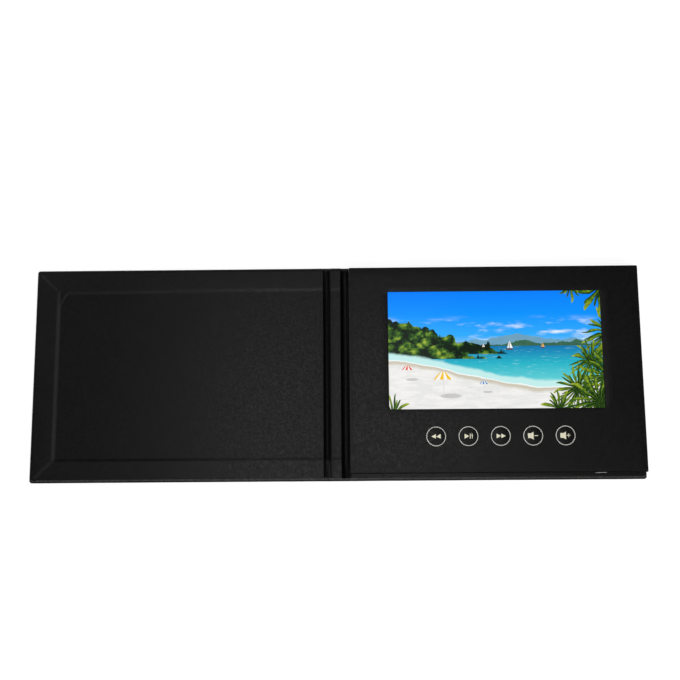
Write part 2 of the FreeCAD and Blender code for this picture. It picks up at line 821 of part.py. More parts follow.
def speaker_frame(x, y):
    """The basket of a flat speaker, open at the top."""
    top = base_top + speaker_height
    basket = speaker_plate(x, y, 0, base_top, top)
    return basket.cut(speaker_plate(x, y, speaker_rim, base_top + speaker_rim, top + 1))


def speaker_magnet(x, y):
    """The magnet on the floor of the basket."""
    floor = base_top + speaker_rim
    return disc(x, y, floor, floor + speaker_magnet_height, speaker_magnet_radius)


def speaker_cone(x, y):
    """The cone with its raised middle and the coil that stands on the magnet."""
    low = base_top + speaker_height - cone_drop - cone_thickness
    sheet = speaker_plate(x, y, speaker_rim, low, low + cone_thickness)
    half_x = speaker_width / 2 - cone_surround
    half_y = speaker_length / 2 - cone_surround
    top = low + cone_thickness + cone_dome
    dome = box(x - half_x, x + half_x, y - half_y, y + half_y, low, top)
    dome = dome.makeChamfer(cone_dome, level_edges(dome, top))
    magnet_top = base_top + speaker_rim + speaker_magnet_height
    coil = disc(x, y, magnet_top, low, speaker_magnet_radius - speaker_rim)
    return sheet.fuse(dome).fuse(coil).removeSplitter()


def speaker_leads():
    """Two wires from each speaker to the main board."""
    (left_x, y), (right_x, same_y) = speaker_places()
    start_y = y - speaker_length / 2
    low = base_top + lead_radius
    high = main_board_top + lead_radius
    row = main_board_tail + lead_row_inset
    left_board = main_board_left - lead_clearance
    head_board = main_board_head + lead_clearance
    left = [Vector(left_x, start_y, low), Vector(left_x, row, low), Vector(left_board - lead_rise, row, low),
            Vector(left_board, row, high), Vector(main_board_left + lead_landing, row, high)]
    right = [Vector(right_x, start_y, low), Vector(right_x, head_board + lead_rise, low),
             Vector(right_x, head_board, high), Vector(right_x, main_board_head - lead_landing, high)]
    return (lead_pair(left, Vector(1, 1, 0), speaker_lead_bend)
            + lead_pair(right, Vector(1, 0, 0), speaker_lead_bend))


# ---------------------------------------------------------------- the whole brochure

def brochure():
    """Every piece by its node name."""
    parts = {}
    front_board, parts["front_wrap"], parts["front_lining"] = cover_half(front_fore_x, front_inner_x)
    parts["closing_magnet"] = closing_magnet()
    pocket = disc(parts["closing_magnet"].CenterOfMass.x, sensor_mid_y, board_top - magnet_thickness,
                  board_top + 1, magnet_radius + magnet_fit)
    parts["front_board"] = front_board.cut(pocket)
    parts["back_board"], parts["back_wrap"], parts["back_lining"] = cover_half(back_fore_x, back_inner_x)
    parts["spine_board"], parts["spine_wrap"], parts["spine_lining"] = spine_half()
    parts["front_hinge_strip"] = hinge_strip(front_inner_x, spine_front_x)
    parts["back_hinge_strip"] = hinge_strip(spine_back_x, back_inner_x)

    parts["block_adhesive"] = block_adhesive()
    parts["base_card"] = card_plate(cover_top, base_top)
    parts.update(rails())
    parts["face_panel"] = face_panel()
    parts["block_skin"] = block_skin()
    parts["foam_core"] = foam_core()

    parts["screen_tray"] = screen_tray()
    parts["backlight"] = backlight()
    parts["screen_glass"] = screen_glass()
    parts["screen_gasket"] = screen_gasket()
    parts["screen_cable"] = screen_cable()

    for name, x in zip(key_names, key_xs):
        parts[name] = key_cap(x)
        parts[name.replace("_key", "_plunger")] = plunger(x)
    parts["switch_bodies"] = Part.makeCompound([switch_body(x) for x in key_xs])
    parts["button_board"] = button_board()
    parts["button_ribbon"] = button_ribbon()

    parts["main_board"] = main_board()
    parts["board_chips"] = Part.makeCompound(board_chips())
    parts["board_connectors"] = Part.makeCompound(board_connectors())
    parts["magnet_sensor"] = magnet_sensor()
    parts["micro_socket"] = micro_socket()
    parts["battery"] = battery()
    parts["battery_leads"] = Part.makeCompound(battery_leads())
    parts["speaker_frames"] = Part.makeCompound([speaker_frame(x, y) for x, y in speaker_places()])
    parts["speaker_magnets"] = Part.makeCompound([speaker_magnet(x, y) for x, y in speaker_places()])
    parts["speaker_cones"] = Part.makeCompound([speaker_cone(x, y) for x, y in speaker_places()])
    parts["speaker_leads"] = Part.makeCompound(speaker_leads())
    return parts


os.makedirs("parts", exist_ok=True)
for node, shape in brochure().items():
    shape.exportStep(os.path.join("parts", node + ".step"))
    print(node, len(shape.Solids), shape.isValid(), round(shape.Volume, 1))
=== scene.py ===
"""The looks of a video brochure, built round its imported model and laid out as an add-on.

The frame brings the pieces at their real size. This file models the leatherette, the lining, the soft
hinges, the box skin, the keys and their printed marks again in finer form, gives every piece its finish,
draws the lit picture and sets the stage. All sizes are in metres.
"""
import contextlib
import itertools
import math

import bmesh
import bpy
from bpy.props import FloatProperty, FloatVectorProperty, PointerProperty
from mathutils import Matrix, Vector


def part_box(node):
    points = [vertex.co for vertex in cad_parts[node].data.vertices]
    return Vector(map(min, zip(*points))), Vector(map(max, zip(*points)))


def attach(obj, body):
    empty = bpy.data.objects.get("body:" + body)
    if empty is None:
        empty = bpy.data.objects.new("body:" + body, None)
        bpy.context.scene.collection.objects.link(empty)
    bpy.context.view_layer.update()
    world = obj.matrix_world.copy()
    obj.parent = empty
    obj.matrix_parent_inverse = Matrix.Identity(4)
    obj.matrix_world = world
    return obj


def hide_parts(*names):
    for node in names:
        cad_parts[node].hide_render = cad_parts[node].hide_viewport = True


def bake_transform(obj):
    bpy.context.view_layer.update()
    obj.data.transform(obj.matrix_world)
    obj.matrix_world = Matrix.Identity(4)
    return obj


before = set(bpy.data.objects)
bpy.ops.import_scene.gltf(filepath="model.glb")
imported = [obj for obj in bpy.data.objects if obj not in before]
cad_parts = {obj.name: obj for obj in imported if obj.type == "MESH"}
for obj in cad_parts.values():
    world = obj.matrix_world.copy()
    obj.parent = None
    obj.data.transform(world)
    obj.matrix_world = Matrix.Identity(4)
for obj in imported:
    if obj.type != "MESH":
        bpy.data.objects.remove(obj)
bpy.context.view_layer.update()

bl_info = {
    "name": "Video Brochure",
    "version": (1, 0, 0),
    "blender": (4, 5, 0),
    "location": "3D View > Sidebar > Brochure",
    "description": "Builds the case, keys, lit picture and finishes of a video brochure",
    "category": "Add Mesh",
}

MM = 0.001
TOLERANCE = 0.00001
CAD_EDGES = (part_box("front_wrap")[0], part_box("back_wrap")[1])

# How far a cutter overlaps what it cuts, how long the pieces of a hand-folded edge are, how broadly such an
# edge wanders, and how long the lip is that closes the end of a groove
CLEARANCE = 0.1 * MM
FOLD_LENGTH = 6 * MM
WANDER_SIZE = 14 * MM
HINGE_LIP = 3.0 * MM


# ---------------------------------------------------------------- what a user would change

class CaseSettings(bpy.types.PropertyGroup):
    """Sizes of the leatherette case."""
    turn_in: FloatProperty(
        name="Turn-in", description="How far the leatherette is folded in over the boards",
        default=15.0 * MM, unit="LENGTH")
    skin: FloatProperty(
        name="Leatherette", description="Thickness of the leatherette", default=0.4 * MM, unit="LENGTH")
    lining: FloatProperty(
        name="Lining", description="Thickness of the lining sheet", default=0.2 * MM, unit="LENGTH")
    slope: FloatProperty(
        name="Step width", description="Width of the soft step at the edge of a turn-in",
        default=3.4 * MM, unit="LENGTH")
    end_slope: FloatProperty(
        name="Step width at the ends", description="Width of the step at head and tail, where it is sharper",
        default=2.0 * MM, unit="LENGTH")
    corner_radius: FloatProperty(
        name="Corner radius", description="Radius of the outer corners", default=2.0 * MM, unit="LENGTH")
    edge_radius: FloatProperty(
        name="Edge radius", description="Radius of the folded edges", default=0.7 * MM, unit="LENGTH")
    heel_radius: FloatProperty(
        name="Heel radius", description="Radius of the edges underneath", default=0.4 * MM, unit="LENGTH")
    ridge_height: FloatProperty(
        name="Ridge height", description="Height of the ridges where the turn-ins lap at the fore corners",
        default=0.16 * MM, unit="LENGTH")
    groove_rise: FloatProperty(
        name="Groove rise", description="How far a groove's sides climb towards the boards",
        default=1.1 * MM, unit="LENGTH")
    groove_lip: FloatProperty(
        name="Groove lip", description="Height of the fold that closes the end of a groove",
        default=1.0 * MM, unit="LENGTH")
    unevenness: FloatProperty(
        name="Unevenness", description="How much the hand-folded edges wander",
        default=0.09 * MM, unit="LENGTH")


class BlockSettings(bpy.types.PropertyGroup):
    """Sizes of the box that holds the screen."""
    skin: FloatProperty(
        name="Skin", description="Thickness of the skin over the card box", default=0.25 * MM, unit="LENGTH")
    corner_radius: FloatProperty(
        name="Corner radius", description="Radius of the upright corners", default=1.0 * MM, unit="LENGTH")
    edge_radius: FloatProperty(
        name="Edge radius", description="Radius of the edge round the face", default=0.5 * MM, unit="LENGTH")
    window_radius: FloatProperty(
        name="Window edge", description="Rounding of the skin where it turns into the window",
        default=0.22 * MM, unit="LENGTH")
    window_size: FloatVectorProperty(
        name="Window", description="Length and width of the window", size=2,
        default=(153.6 * MM, 85.3 * MM), unit="LENGTH")
    window_middle: FloatVectorProperty(
        name="Window middle", description="Middle of the window", size=2,
        default=(114.625 * MM, 15.3 * MM), unit="LENGTH")


class KeySettings(bpy.types.PropertyGroup):
    """Sizes of the keys and the marks printed on them."""
    cap_radius: FloatProperty(
        name="Cap radius", description="Radius of a key's cap", default=7.1 * MM, unit="LENGTH")
    gap: FloatProperty(
        name="Gap", description="Gap round a key", default=0.15 * MM, unit="LENGTH")
    flange_corner: FloatProperty(
        name="Flange corner", description="How much is cut off each corner of a key's flange",
        default=3.0 * MM, unit="LENGTH")
    edge: FloatProperty(
        name="Cap edge", description="Rounding of the cap's edge", default=0.18 * MM, unit="LENGTH")
    ring_radius: FloatProperty(
        name="Ring radius", description="Outer radius of the printed ring", default=6.9 * MM, unit="LENGTH")
    ring_line: FloatProperty(
        name="Ring line", description="Width of the printed ring", default=0.46 * MM, unit="LENGTH")
    foil: FloatProperty(
        name="Foil", description="Thickness of the print", default=0.03 * MM, unit="LENGTH")


class FinishSettings(bpy.types.PropertyGroup):
    """Colours and grain of the surfaces in view."""
    leather: FloatVectorProperty(
        name="Leatherette", description="Colour of the leatherette", size=3, subtype="COLOR",
        default=(0.0015, 0.0015, 0.0015))
    leather_light: FloatVectorProperty(
        name="Leatherette, rubbed", description="Colour on top of the grain", size=3, subtype="COLOR",
        default=(0.0052, 0.0052, 0.0051))
    # Lighter colour for edge wear, which also serves as a painted highlight on rounded edges, steps and light
    # lines
    leather_worn: FloatVectorProperty(
        name="Leatherette, worn", description="Colour where an edge is worn", size=3, subtype="COLOR",
        default=(0.075, 0.073, 0.070))
    foil: FloatVectorProperty(
        name="Foil", description="Colour of the printed signs", size=3, subtype="COLOR",
        default=(0.94, 0.90, 0.68))
    ring: FloatVectorProperty(
        name="Ring", description="Colour of the printed rings", size=3, subtype="COLOR",
        default=(0.74, 0.73, 0.69))
    grain: FloatProperty(
        name="Grain", description="Size of one pebble of the grain", default=0.8 * MM, unit="LENGTH")
    brightness: FloatProperty(
        name="Screen brightness", description="Strength of the lit picture", default=1.0, min=0.0)


class StageSettings(bpy.types.PropertyGroup):
    """Camera and lamps."""
    camera_place: FloatVectorProperty(
        name="Camera", description="Where the camera stands", size=3, unit="LENGTH",
        default=(9.5 * MM, -75.1 * MM, 661.0 * MM))
    camera_target: FloatVectorProperty(
        name="Target", description="Where the camera looks", size=3, unit="LENGTH",
        default=(2.85 * MM, 24.56 * MM, 0.0))
    camera_roll: FloatProperty(
        name="Roll", description="Turn of the camera about its line of sight", subtype="ANGLE",
        default=math.radians(0.42))
    lens: FloatProperty(name="Lens", description="Focal length in millimetres", default=48.27)
    overhead_power: FloatProperty(name="Overhead lamp", description="Power in watts", default=3.0)
    key_power: FloatProperty(name="Key lamp", description="Power in watts", default=9.0)
    fill_power: FloatProperty(name="Fill lamp", description="Power in watts", default=4.0)
    sky: FloatProperty(name="Room light", description="Strength of the light from all round", default=0.22)


SETTINGS = {"brochure_case": CaseSettings, "brochure_block": BlockSettings, "brochure_keys": KeySettings,
            "brochure_finish": FinishSettings, "brochure_stage": StageSettings}


# ---------------------------------------------------------------- modelling by hand, in short calls

def only(piece):
    """Selects one object and makes it the active one."""
    bpy.ops.object.select_all(action="DESELECT")
    piece.select_set(True)
    bpy.context.view_layer.objects.active = piece


@contextlib.contextmanager
def editing(piece, kind):
    """Edit mode on one piece, picking vertices, edges or faces."""
    only(piece)
    bpy.ops.object.mode_set(mode="EDIT")
    bpy.ops.mesh.select_mode(type=kind)
    bpy.ops.mesh.select_all(action="DESELECT")
    yield
    bpy.ops.object.mode_set(mode="OBJECT")


def pick(piece, kind, test):
    """Selects those vertices, edges or faces of the piece in edit mode that pass the test."""
    bpy.ops.mesh.select_all(action="DESELECT")
    mesh = bmesh.from_edit_mesh(piece.data)
    for element in getattr(mesh, kind):
        if test(element):
            element.select_set(True)
    mesh.select_flush_mode()
    bmesh.update_edit_mesh(piece.data)


def near(value, target):
    """Whether two lengths are the same."""
    return abs(value - target) < TOLERANCE


def edge_on(axis, target):
    """A test for edges that lie at one value of an axis."""
    return lambda edge: all(near(vertex.co[axis], target) for vertex in edge.verts)


def span(edge, axis):
    """How far an edge reaches along one axis."""
    return abs(edge.verts[0].co[axis] - edge.verts[1].co[axis])


def settle(piece, name):
    """Names a new primitive and puts its place and size into its mesh."""
    only(piece)
    bpy.ops.object.transform_apply(location=True, rotation=True, scale=True)
    piece.name = name
    piece.data.name = name
    return piece


def slab(name, low, high):
    """A box between two corners."""
    low, high = Vector(low), Vector(high)
    bpy.ops.object.select_all(action="DESELECT")
    bpy.ops.mesh.primitive_cube_add(size=1.0, location=(low + high) / 2, scale=high - low)
    return settle(bpy.context.object, name)


def sheet(name, low, high, z):
    """A level rectangle that faces up."""
    bpy.ops.object.select_all(action="DESELECT")
    middle = ((low[0] + high[0]) / 2, (low[1] + high[1]) / 2, z)
    bpy.ops.mesh.primitive_plane_add(size=1.0, location=middle)
    piece = bpy.context.object
    piece.scale = (high[0] - low[0], high[1] - low[1], 1.0)
    return settle(piece, name)


def drum(name, x, y, low, high, radius, sides=96):
    """An upright round bar."""
    bpy.ops.object.select_all(action="DESELECT")
    bpy.ops.mesh.primitive_cylinder_add(vertices=sides, radius=radius, depth=high - low,
                                        location=(x, y, (low + high) / 2))
    return settle(bpy.context.object, name)


def disc(name, sides, radius, z):
    """A level face with many sides."""
    bpy.ops.object.select_all(action="DESELECT")
    bpy.ops.mesh.primitive_circle_add(vertices=sides, radius=radius, fill_type="NGON", location=(0, 0, z))
    return settle(bpy.context.object, name)


def copied(piece, name, x=0.0, y=0.0, turn=0.0):
    """A copy with a mesh of its own, turned and moved along the board to another place."""
    only(piece)
    bpy.ops.object.duplicate(linked=False)
    copy = bpy.context.object
    copy.rotation_euler.z = turn
    copy.location = (x, y, 0.0)
    return settle(copy, name)


def bevel(piece, test, width, segments):
    """Rounds the edges that pass the test."""
    with editing(piece, "EDGE"):
        pick(piece, "edges", test)
        bpy.ops.mesh.bevel(offset=width, segments=segments, affect="EDGES")


def slice_at(piece, place, normal, drop_beyond=False):
    """Cuts new edges where a plane passes through the piece, and may drop what lies beyond it."""
    with editing(piece, "FACE"):
        bpy.ops.mesh.select_all(action="SELECT")
        bpy.ops.mesh.bisect(plane_co=place, plane_no=normal, clear_outer=drop_beyond)


def slice_at_each(piece, axis, places):
    """Cuts new edges across the piece at several places along one axis."""
    normal = Vector([0.0, 0.0, 0.0])
    normal[axis] = 1.0
    for place in places:
        slice_at(piece, normal * place, normal)


def between(low, high, count):
    """The places that divide a length into equal parts, without its ends."""
    return [low + (high - low) * index / count for index in range(1, count)]


def slice_in_lengths(piece, axis, low, high, step):
    """Even cuts across the piece, so that a long edge can wander."""
    slice_at_each(piece, axis, between(low, high, int((high - low) / step)))


def move(piece, test, step):
    """Moves the vertices that pass the test."""
    with editing(piece, "VERT"):
        pick(piece, "verts", test)
        bpy.ops.transform.translate(value=step)


def add_modifier(piece, kind, **settings):
    """Adds a modifier, sets it and applies it."""
    only(piece)
    modifier = piece.modifiers.new(kind.title(), kind)
    for key, value in settings.items():
        setattr(modifier, key, value)
    bpy.ops.object.modifier_apply(modifier=modifier.name)


def carve(piece, cutter, operation="DIFFERENCE"):
    """Takes one shape out of another, or unites the two."""
    add_modifier(piece, "BOOLEAN", operation=operation, solver="EXACT", object=cutter)
    bpy.data.objects.remove(cutter)


def wander(piece, depth, size):
    """Lets a surface dip here and there by up to some depth."""
    clouds = bpy.data.textures.new("wander", "CLOUDS")
    clouds.noise_scale = size
    add_modifier(piece, "DISPLACE", texture=clouds, texture_coords="LOCAL", direction="NORMAL",
                 mid_level=1.0, strength=depth)
    bpy.data.textures.remove(clouds)


def smooth(piece, angle=35.0):
    """Smooth shading that keeps the sharp edges."""
    only(piece)
    bpy.ops.object.shade_smooth_by_angle(angle=math.radians(angle))


def dress(piece, material, body, node):
    """Gives a piece its finish and its body, and hides the node that it stands for."""
    piece.data.materials.clear()
    piece.data.materials.append(material)
    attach(piece, body)
    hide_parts(node)


# ---------------------------------------------------------------- finishes

class Amount:
    """A number that a node gives. Sums on it add further nodes."""

    def __init__(self, finish, socket):
        self.finish = finish
        self.socket = socket

    def __add__(self, other):
        return self.finish.sum("ADD", self, other)

    def __sub__(self, other):
        return self.finish.sum("SUBTRACT", self, other)

    def __rsub__(self, other):
        return self.finish.sum("SUBTRACT", other, self)

    def __mul__(self, other):
        return self.finish.sum("MULTIPLY", self, other)

    def __truediv__(self, other):
        return self.finish.sum("DIVIDE", self, other)

    def __pow__(self, other):
        return self.finish.sum("POWER", self, other)

    def __abs__(self):
        return self.finish.sum("ABSOLUTE", self)

    __radd__ = __add__
    __rmul__ = __mul__


class Finish:
    """A material in the making: adds nodes and joins them."""

    def __init__(self, name):
        self.material = bpy.data.materials.new(name)
        self.material.use_nodes = True
        self.tree = self.material.node_tree
        self.shader = self.tree.nodes["Principled BSDF"]
        self.place = self.tree.nodes.new("ShaderNodeTexCoord").outputs["Object"]

    def add(self, kind, inputs=None, **settings):
        """A new node with its settings, and values or other nodes' outputs on its inputs."""
        node = self.tree.nodes.new(kind)
        for key, value in settings.items():
            setattr(node, key, value)
        for key, value in (inputs or {}).items():
            self.feed(node.inputs[key], value)
        return node

    def feed(self, socket, value):
        """Joins an output to a socket, or sets its number."""
        if isinstance(value, Amount):
            value = value.socket
        if isinstance(value, bpy.types.NodeSocket):
            self.tree.links.new(value, socket)
        elif hasattr(value, "__len__") and len(value) == 3 and len(socket.default_value) == 4:
            socket.default_value = (*value, 1.0)
        else:
            socket.default_value = value

    def amount(self, output, kind, inputs, **settings):
        """The number that a new node gives on one of its outputs."""
        return Amount(self, self.add(kind, inputs, **settings).outputs[output])

    def sum(self, operation, *values):
        """A sum on numbers."""
        return self.amount(0, "ShaderNodeMath", dict(enumerate(values)), operation=operation)

    def most(self, first, *others):
        """The greatest of several numbers."""
        for other in others:
            first = self.sum("MAXIMUM", first, other)
        return first

    def length(self, x, y):
        """The length of a flat step."""
        return self.sum("SQRT", x ** 2.0 + y ** 2.0)

    def parts(self, vector):
        """The three numbers of a place."""
        return [Amount(self, part) for part in self.add("ShaderNodeSeparateXYZ", {"Vector": vector}).outputs]

    def fade(self, value, low, high):
        """Nothing below one value, all above another, and a soft change between them."""
        return self.amount("Result", "ShaderNodeMapRange", {
            "Value": value, "From Min": low, "From Max": high}, interpolation_type="SMOOTHSTEP")

    def within(self, value, low, high, softness):
        """All that lies between two values."""
        return self.fade(value, low - softness, low) * self.fade(value, high + softness, high)

    def mix(self, share, first, second):
        """From one colour to another."""
        return self.add("ShaderNodeMix", {0: share, 6: first, 7: second}, data_type="RGBA").outputs[2]

    def ramp(self, value, stops):
        """Colours along a value."""
        node = self.add("ShaderNodeValToRGB", {"Fac": value})
        elements = node.color_ramp.elements
        while len(elements) < len(stops):
            elements.new(0.5)
        for element, (position, colour) in zip(elements, stops):
            element.position = position
            element.color = (*colour, 1.0)
        return node.outputs["Color"]

    def stretched(self, size):
        """The place on the piece, measured in units of the given size along each axis."""
        scale = [1 / part for part in size]
        return self.add("ShaderNodeMapping", {"Vector": self.place, "Scale": scale}).outputs[0]

    def noise(self, vector, scale, detail=2.0, roughness=0.5):
        """Soft noise from 0 to 1."""
        return self.amount("Fac", "ShaderNodeTexNoise", {
            "Vector": vector, "Scale": scale, "Detail": detail, "Roughness": roughness})

    def cells(self, vector, scale):
        """Distance from the middle of the nearest cell."""
        return self.amount("Distance", "ShaderNodeTexVoronoi", {"Vector": vector, "Scale": scale})

    def edges(self, low, high, reach):
        """Close to an edge of the box between two corners."""
        sides = [self.fade(self.sum("MINIMUM", part - low[axis], high[axis] - part), reach, reach * 0.3)
                 for axis, part in enumerate(self.parts(self.place))]
        return self.most(*(first * last for first, last in itertools.combinations(sides, 2)))

    def relief(self, height, depth, strength=1.0, under=None):
        """A bump of a real depth, over another one if there is one."""
        inputs = {"Height": height, "Distance": depth, "Strength": strength}
        if under:
            inputs["Normal"] = under
        return self.add("ShaderNodeBump", inputs).outputs["Normal"]

    def surface(self, **values):
        """Sets or joins the shader's own sockets, by their names with underscores."""
        for key, value in values.items():
            self.feed(self.shader.inputs[key.replace("_", " ")], value)
        return self.material


# How strongly leatherette reflects, in the open and down in a groove, where the lower gloss and a darker
# colour paint the shade
PLAIN_GLOSS, GROOVE_GLOSS = 0.13, 0.05


def leatherette(name, marks=None, depth=0.04 * MM, shade_factor=1.0, gloss=PLAIN_GLOSS):
    """Black imitation leather with a pebbled grain of some depth and soft mottling, darkened by a factor as
    painted shade.

    The marks are a function that gives, for a finish and its mottling, how far it is lightened by wear and
    painted highlights, what share of its gloss it has and how much rougher it is at each place.
    """
    settings = bpy.context.scene.brochure_finish
    grain = settings.grain
    finish = Finish(name)
    bend = finish.add("ShaderNodeTexNoise", {"Vector": finish.place, "Scale": 0.6 / grain}).outputs["Color"]
    sway = finish.add("ShaderNodeVectorMath", {0: bend, "Scale": 0.9 * grain}, operation="SCALE").outputs[0]
    bent = finish.add("ShaderNodeVectorMath", {0: finish.place, 1: sway}, operation="ADD").outputs[0]
    tops = finish.fade(finish.cells(bent, 1 / grain), 0.70, 0.15)
    mottle = finish.noise(finish.place, 0.40 / grain, 3.0, 0.65)
    weave = finish.noise(finish.stretched((0.9 * MM, 7.0 * MM, 2.0 * MM)), 1.0, 2.0)
    cloud = finish.noise(finish.place, 24.0, 3.0)
    low, high = ([part * shade_factor for part in shade] for shade in (settings.leather, settings.leather_light))
    colour = finish.mix(tops * finish.fade(mottle + cloud, 0.75, 1.25), low, high)
    wear_and_highlight, share, rougher = marks(finish, mottle) if marks else (0.0, 1.0, 0.0)
    return finish.surface(
        # Lighter where edges wear and where a highlight or light line is painted
        Base_Color=finish.mix(wear_and_highlight, colour, settings.leather_worn),
        Roughness=mottle * 0.42 + weave * 0.10 + cloud * 0.06 + 0.13 + rougher,
        Specular_IOR_Level=share * gloss,  # a product with a plain number
        Normal=finish.relief(tops, depth, 0.5, finish.relief(mottle, depth * 2.4, 0.5)))


def box_wear_and_highlights(low, high, wear, tail):
    """Marks on leatherette round a box: scuffed edges lightened by wear and a painted highlight, and at the
    tail a painted highlight line and an edge darkened as painted shade by taking away its gloss and
    lightening.
    """
    reach, margin, margin_end = 1.1 * MM, low.y + 1.1 * MM, low.y + 2.4 * MM
    dull_start, dull_end = low.y + 1.0 * MM, low.y + 0.5 * MM
    dull_foot, dull_top = high.z - 1.4 * MM, high.z - 0.7 * MM

    def marks(finish, mottle):
        y, z = finish.parts(finish.place)[1:]
        scuffs_and_highlights = finish.noise(finish.place, 300.0, 4.0, 0.7)
        # Edge wear, which also paints the highlight that the rounded edges catch
        wear_and_highlight = finish.edges(low, high, reach) * finish.fade(scuffs_and_highlights, 0.25, 0.25 + 0.5 / wear)
        # Painted shade: the tail edge loses its gloss and its lightening, so that it reads dark
        dull = finish.fade(y, dull_start, dull_end) * finish.fade(z, dull_foot, dull_top)
        # Painted highlight: a light line along the tail margin
        line = finish.within(y, margin, margin_end, 0.35 * MM) * (scuffs_and_highlights * 1.3 - 0.15) * tail
        return finish.most(wear_and_highlight * (1.0 - dull), line), 1.0 - dull * 0.8, 0.0
    return marks


def steps_with_painted_light(hollow, top):
    """Marks on the lining between the heights where it slopes: smoother steps with painted highlights along
    them, at the foot of the box and on the raised bands, and painted shade by lower gloss along the tail
    step.
    """
    case = bpy.context.scene.brochure_case
    step = CAD_EDGES[0].x + case.turn_in
    end = CAD_EDGES[1].y - case.turn_in - 2 * MM
    box_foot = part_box("block_skin")[0].y - 0.9 * MM

    def marks(finish, mottle):
        x, y, z = finish.parts(finish.place)
        # Painted highlights on the fore step, the head step and in the tail corner
        fore = finish.within(x, step + 0.30 * case.slope, step + 0.52 * case.slope, 0.5 * case.slope)
        fore = fore * finish.within(y, -end, end, 4 * MM)
        head = finish.within(y, end - 0.6 * MM, end + 1.2 * MM, 0.8 * MM)
        head = head * finish.fade(x, step + 6 * MM, step + 9 * MM) * finish.fade(
            x, step + 140 * MM, step + 40 * MM)
        # Painted shade along the tail step, by a lower share of gloss
        tail = finish.within(y, -end - 1.8 * MM, -end - 0.2 * MM, 0.6 * MM)
        tail = tail * finish.fade(x, step + 1.5 * MM, step + 3 * MM) * finish.fade(
            x, step + 150 * MM, step + 60 * MM)
        corner = finish.within(z, hollow - 0.09 * MM, hollow + 0.06 * MM, 0.06 * MM)
        corner = corner * finish.fade(x, step + 16 * MM, step + 8 * MM) * finish.fade(
            y, -end + 4 * MM, -end + 12 * MM)
        # Painted highlight along the foot of the box
        foot = finish.within(y, box_foot, box_foot + 0.8 * MM, 0.3 * MM) * (mottle * 3.6 - 0.4)
        foot = foot * finish.fade(x, 10 * MM, 11 * MM) * finish.fade(x, 150 * MM, 30 * MM)
        # Painted light: the raised bands a little lighter
        band = finish.fade(z, top, top + 0.15 * MM) * 0.03
        wear_and_highlight = finish.most(finish.most(foot, fore, finish.most(corner, head) * 0.5) * 0.17, band)
        return wear_and_highlight, 1.0 - tail * 0.4, finish.within(z, hollow, top, 0.14 * MM) * -0.05
    return marks


def groove_floor_highlight(finish, mottle):
    """The mark in a groove: a painted highlight along the middle of the back hinge's floor."""
    x = finish.parts(finish.place)[0]
    middle = sum(corner.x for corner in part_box("back_hinge_strip")) / 2 + 0.3 * MM
    return finish.within(x, middle - 0.2 * MM, middle + 0.2 * MM, 0.7 * MM) * 0.08, 1.0, 0.0


def highlighted_above(foot, top):
    """The mark on a ridge: a painted highlight, lighter towards its top."""
    return lambda finish, mottle: (finish.fade(finish.parts(finish.place)[2], foot, top) * 0.12, 1.0, 0.0)


def printed(name, colour):
    """Metallic ink, a little rubbed off in places, over the grain."""
    finish = Finish(name)
    wear_and_highlight = finish.noise(finish.place, 2600.0, 3.0, 0.65)
    faint = [part * 0.72 for part in colour]
    return finish.surface(
        Base_Color=finish.mix(finish.fade(wear_and_highlight, 0.42, 0.62), faint, colour),
        Roughness=wear_and_highlight * 0.25 + 0.38, Metallic=0.15, Normal=finish.relief(wear_and_highlight, 0.012 * MM, 0.5))


def simple_finish(slot, colour, second, size, roughness, metallic, depth):
    """A plain finish whose colour, shine and relief vary at one size, along each axis."""
    finish = Finish(slot)
    grain = finish.noise(finish.stretched(size), 1.0, 4.0, 0.6)
    specks = finish.noise(finish.stretched(size), 6.0, 2.0)
    return finish.surface(
        Base_Color=finish.mix(finish.fade(grain, 0.35, 0.65), colour, second),
        Roughness=specks * 0.2 + (roughness - 0.1), Metallic=metallic,
        Normal=finish.relief(grain, depth, 0.5))


